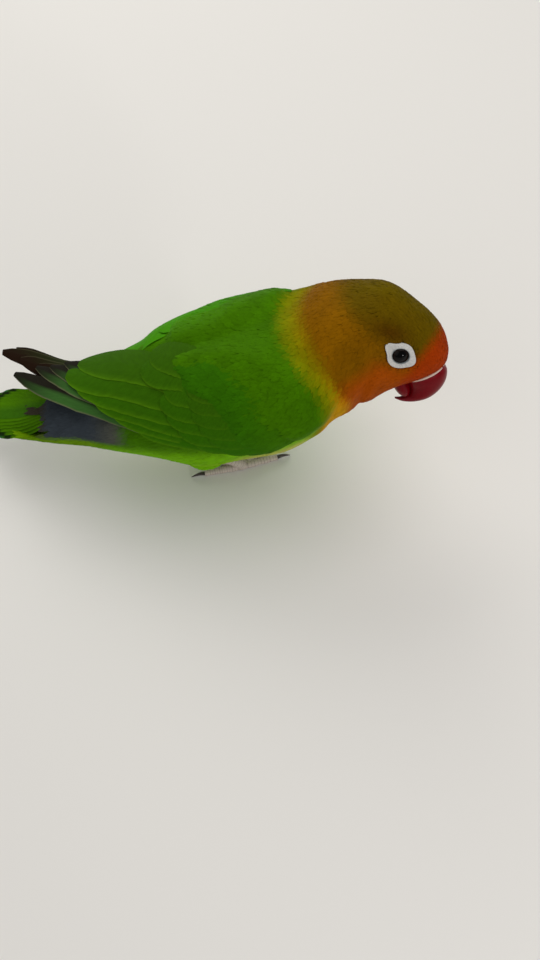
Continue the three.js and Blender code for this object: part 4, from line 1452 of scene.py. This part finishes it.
def tubeGrid(points, radii, around, along, bumpAt):
    # round tube along a smooth line, its radius changed by a function of place and angle
    points, radii = np.array(points, float), np.array(radii, float)
    at = np.linspace(0, len(points) - 1, along)
    i = np.minimum(at.astype(int), len(points) - 2)
    centre, radius = curved(points, i, at - i), curved(radii, i, at - i)[:, None]
    ahead = unit(np.gradient(centre, axis=0))
    side = unit(np.cross(np.array([0, 0, 1.0]) + ahead * 0.01 + np.array([0.02, 0, 0]), ahead))
    up = np.cross(ahead, side)
    angle = np.linspace(0, 2 * math.pi, around, endpoint=False)[None, :]
    share = np.linspace(0, 1, along)[:, None]
    reach = radius * bumpAt(share, angle)
    return (centre[:, None] + side[:, None] * (reach * np.sin(angle))[..., None]
            + up[:, None] * (reach * np.cos(angle))[..., None])


def scutes(count, joints):
    # rows of scales above, pads and small scales below
    def at(share, angle):
        top = smoothStep(-0.2, 0.5, np.cos(angle))
        plate = (share * count) % 1
        ridge = 0.09 * plate**0.7 * top
        pad = 0.1 * np.cos(2 * math.pi * joints * share) * smoothStep(0.2, -0.8, np.cos(angle))
        pebble = 0.03 * np.sin(share * count * 9) * np.sin(angle * 9) * (1 - top)
        return 1 + ridge + pad + pebble

    return at


def flatBelow(share, angle):
    # claws are flatter below, least so at the tip
    return 1 - 0.12 * smoothStep(0.3, -0.9, np.cos(angle)) * (1 - share)


def buildFoot(sign, name):
    lofts = []
    line = [(x, y * sign, z) for x, y, z, _ in foot["shank"]]
    lofts.append((tubeGrid(line, [r for *_, r in foot["shank"]], 28, 64, scutes(11, 1)), 11))
    claws = []
    for turn, length, joints in foot["toes"]:
        angle = math.radians(turn)

        def at(reach, height):
            x = foot["palm"][0] + reach * math.cos(angle)
            return x, (foot["palm"][1] + reach * math.sin(angle)) * sign, height

        sole = foot["sole"]
        line = [at(length * t, sole + 0.35 * (1 - t)) for t in (0, 0.35, 0.7, 1)]
        radii = [lerp(*foot["radius"], t) for t in (0, 0.35, 0.7, 1)]
        lofts.append((tubeGrid(line, radii, 24, 22 * joints, scutes(joints * 4, joints)), joints * 4))
        start = length - 0.2
        reach = foot["clawLength"] + 0.4
        line = [at(start + reach * k / 3, sole + rise) for k, rise in enumerate(foot["clawRise"])]
        claws.append(tubeGrid(line, foot["clawRadii"], 20, 24, flatBelow))
    tints = []
    for grid, count in lofts:
        grid[..., 2] = np.maximum(grid[..., 2], 0.0)
        plate = (np.linspace(0, 1, grid.shape[0])[:, None] * count) % 1 * np.ones(grid.shape[:2])
        tints.append(mixed(foot["crease"], foot["skin"], smoothStep(0.0, 0.3, plate)).reshape(-1, 3))
    tint = {"tint": np.concatenate(tints)}
    piece = newMesh(f"foot_scales_{name}", *joined([grid for grid, _ in lofts]), tint)
    rideRoot(piece, scaleSkin, "foot_scales", f"foot_{name}")
    for k, grid in enumerate(claws):
        grid[..., 2] = np.maximum(grid[..., 2], 0.0)
        tint = np.broadcast_to(foot["claw"], grid.shape)
        claw = closedLoft(f"claw_horn_{name}_{k + 1}", grid, tint)
        rideRoot(claw, clawHorn, "claw_horn", f"claw_{name}_{k + 1}")


for name, sign in wingSign.items():
    buildFoot(sign, name)
print("feet done")

# Floor, light and camera
studio = {
    "lens": 33.2,
    "sensor": 36,
    "look": 28.6,
    "camera": (0, -150, 250),
    "floor": (0.80, 0.78, 0.75, 1),
    "world": 0.28,
    "lights": [  # x, y, z in metres, size, power, colour
        (0.3, 0.1, 0.8, 0.8, 3.4, (1.0, 0.98, 0.95)),
        (-0.25, 0.6, 0.5, 0.5, 2.4, (1.0, 0.99, 0.94)),
        (-0.5, -0.5, 0.6, 0.8, 1.0, (1.0, 0.99, 0.97)),
        (0.34, -0.39, 0.17, 0.06, 0.42, (1.0, 1.0, 1.0)),
    ],
}


def buildStudio():
    bpy.ops.mesh.primitive_plane_add(size=6, location=(0, 0, 0))
    floor = bpy.context.object
    floor.name = "floor"
    made, tree, shader = finishOf("floorPaper", 0.8)
    spot = node(tree, "ShaderNodeTexCoord")
    noise = node(tree, "ShaderNodeTexNoise", Scale=60.0, Detail=3.0)
    bump = node(tree, "ShaderNodeBump", Strength=0.1, Distance=0.0005)
    shader.inputs["Base Color"].default_value = studio["floor"]
    raiseBy(tree, shader, spot.outputs["Object"], noise, bump)
    floor.data.materials.append(made)
    world = bpy.data.worlds.new("studioWorld")
    world.use_nodes = True
    world.node_tree.nodes["Background"].inputs["Color"].default_value = (1, 1, 1, 1)
    world.node_tree.nodes["Background"].inputs["Strength"].default_value = studio["world"]
    bpy.context.scene.world = world
    for i, (x, y, z, size, power, colour) in enumerate(studio["lights"]):
        light = bpy.data.lights.new(f"softbox{i}", "AREA")
        light.energy, light.size, light.color = power, size, colour
        lamp = bpy.data.objects.new(f"softbox{i}", light)
        lamp.location = (x, y, z)
        lamp.rotation_euler = (Vector((0, 0, 0.03)) - lamp.location).to_track_quat("-Z", "Y").to_euler()
        bpy.context.scene.collection.objects.link(lamp)
    lens = bpy.data.cameras.new("camera")
    lens.lens = studio["lens"]
    lens.sensor_width = studio["sensor"]
    camera = bpy.data.objects.new("camera", lens)
    camera.location = Vector(toWorld(studio["camera"]))
    camera.rotation_euler = (math.radians(studio["look"]), 0, 0)
    bpy.context.scene.collection.objects.link(camera)
    bpy.context.scene.camera = camera
    bpy.context.scene.view_settings.view_transform = "Standard"


buildStudio()
print("studio done")
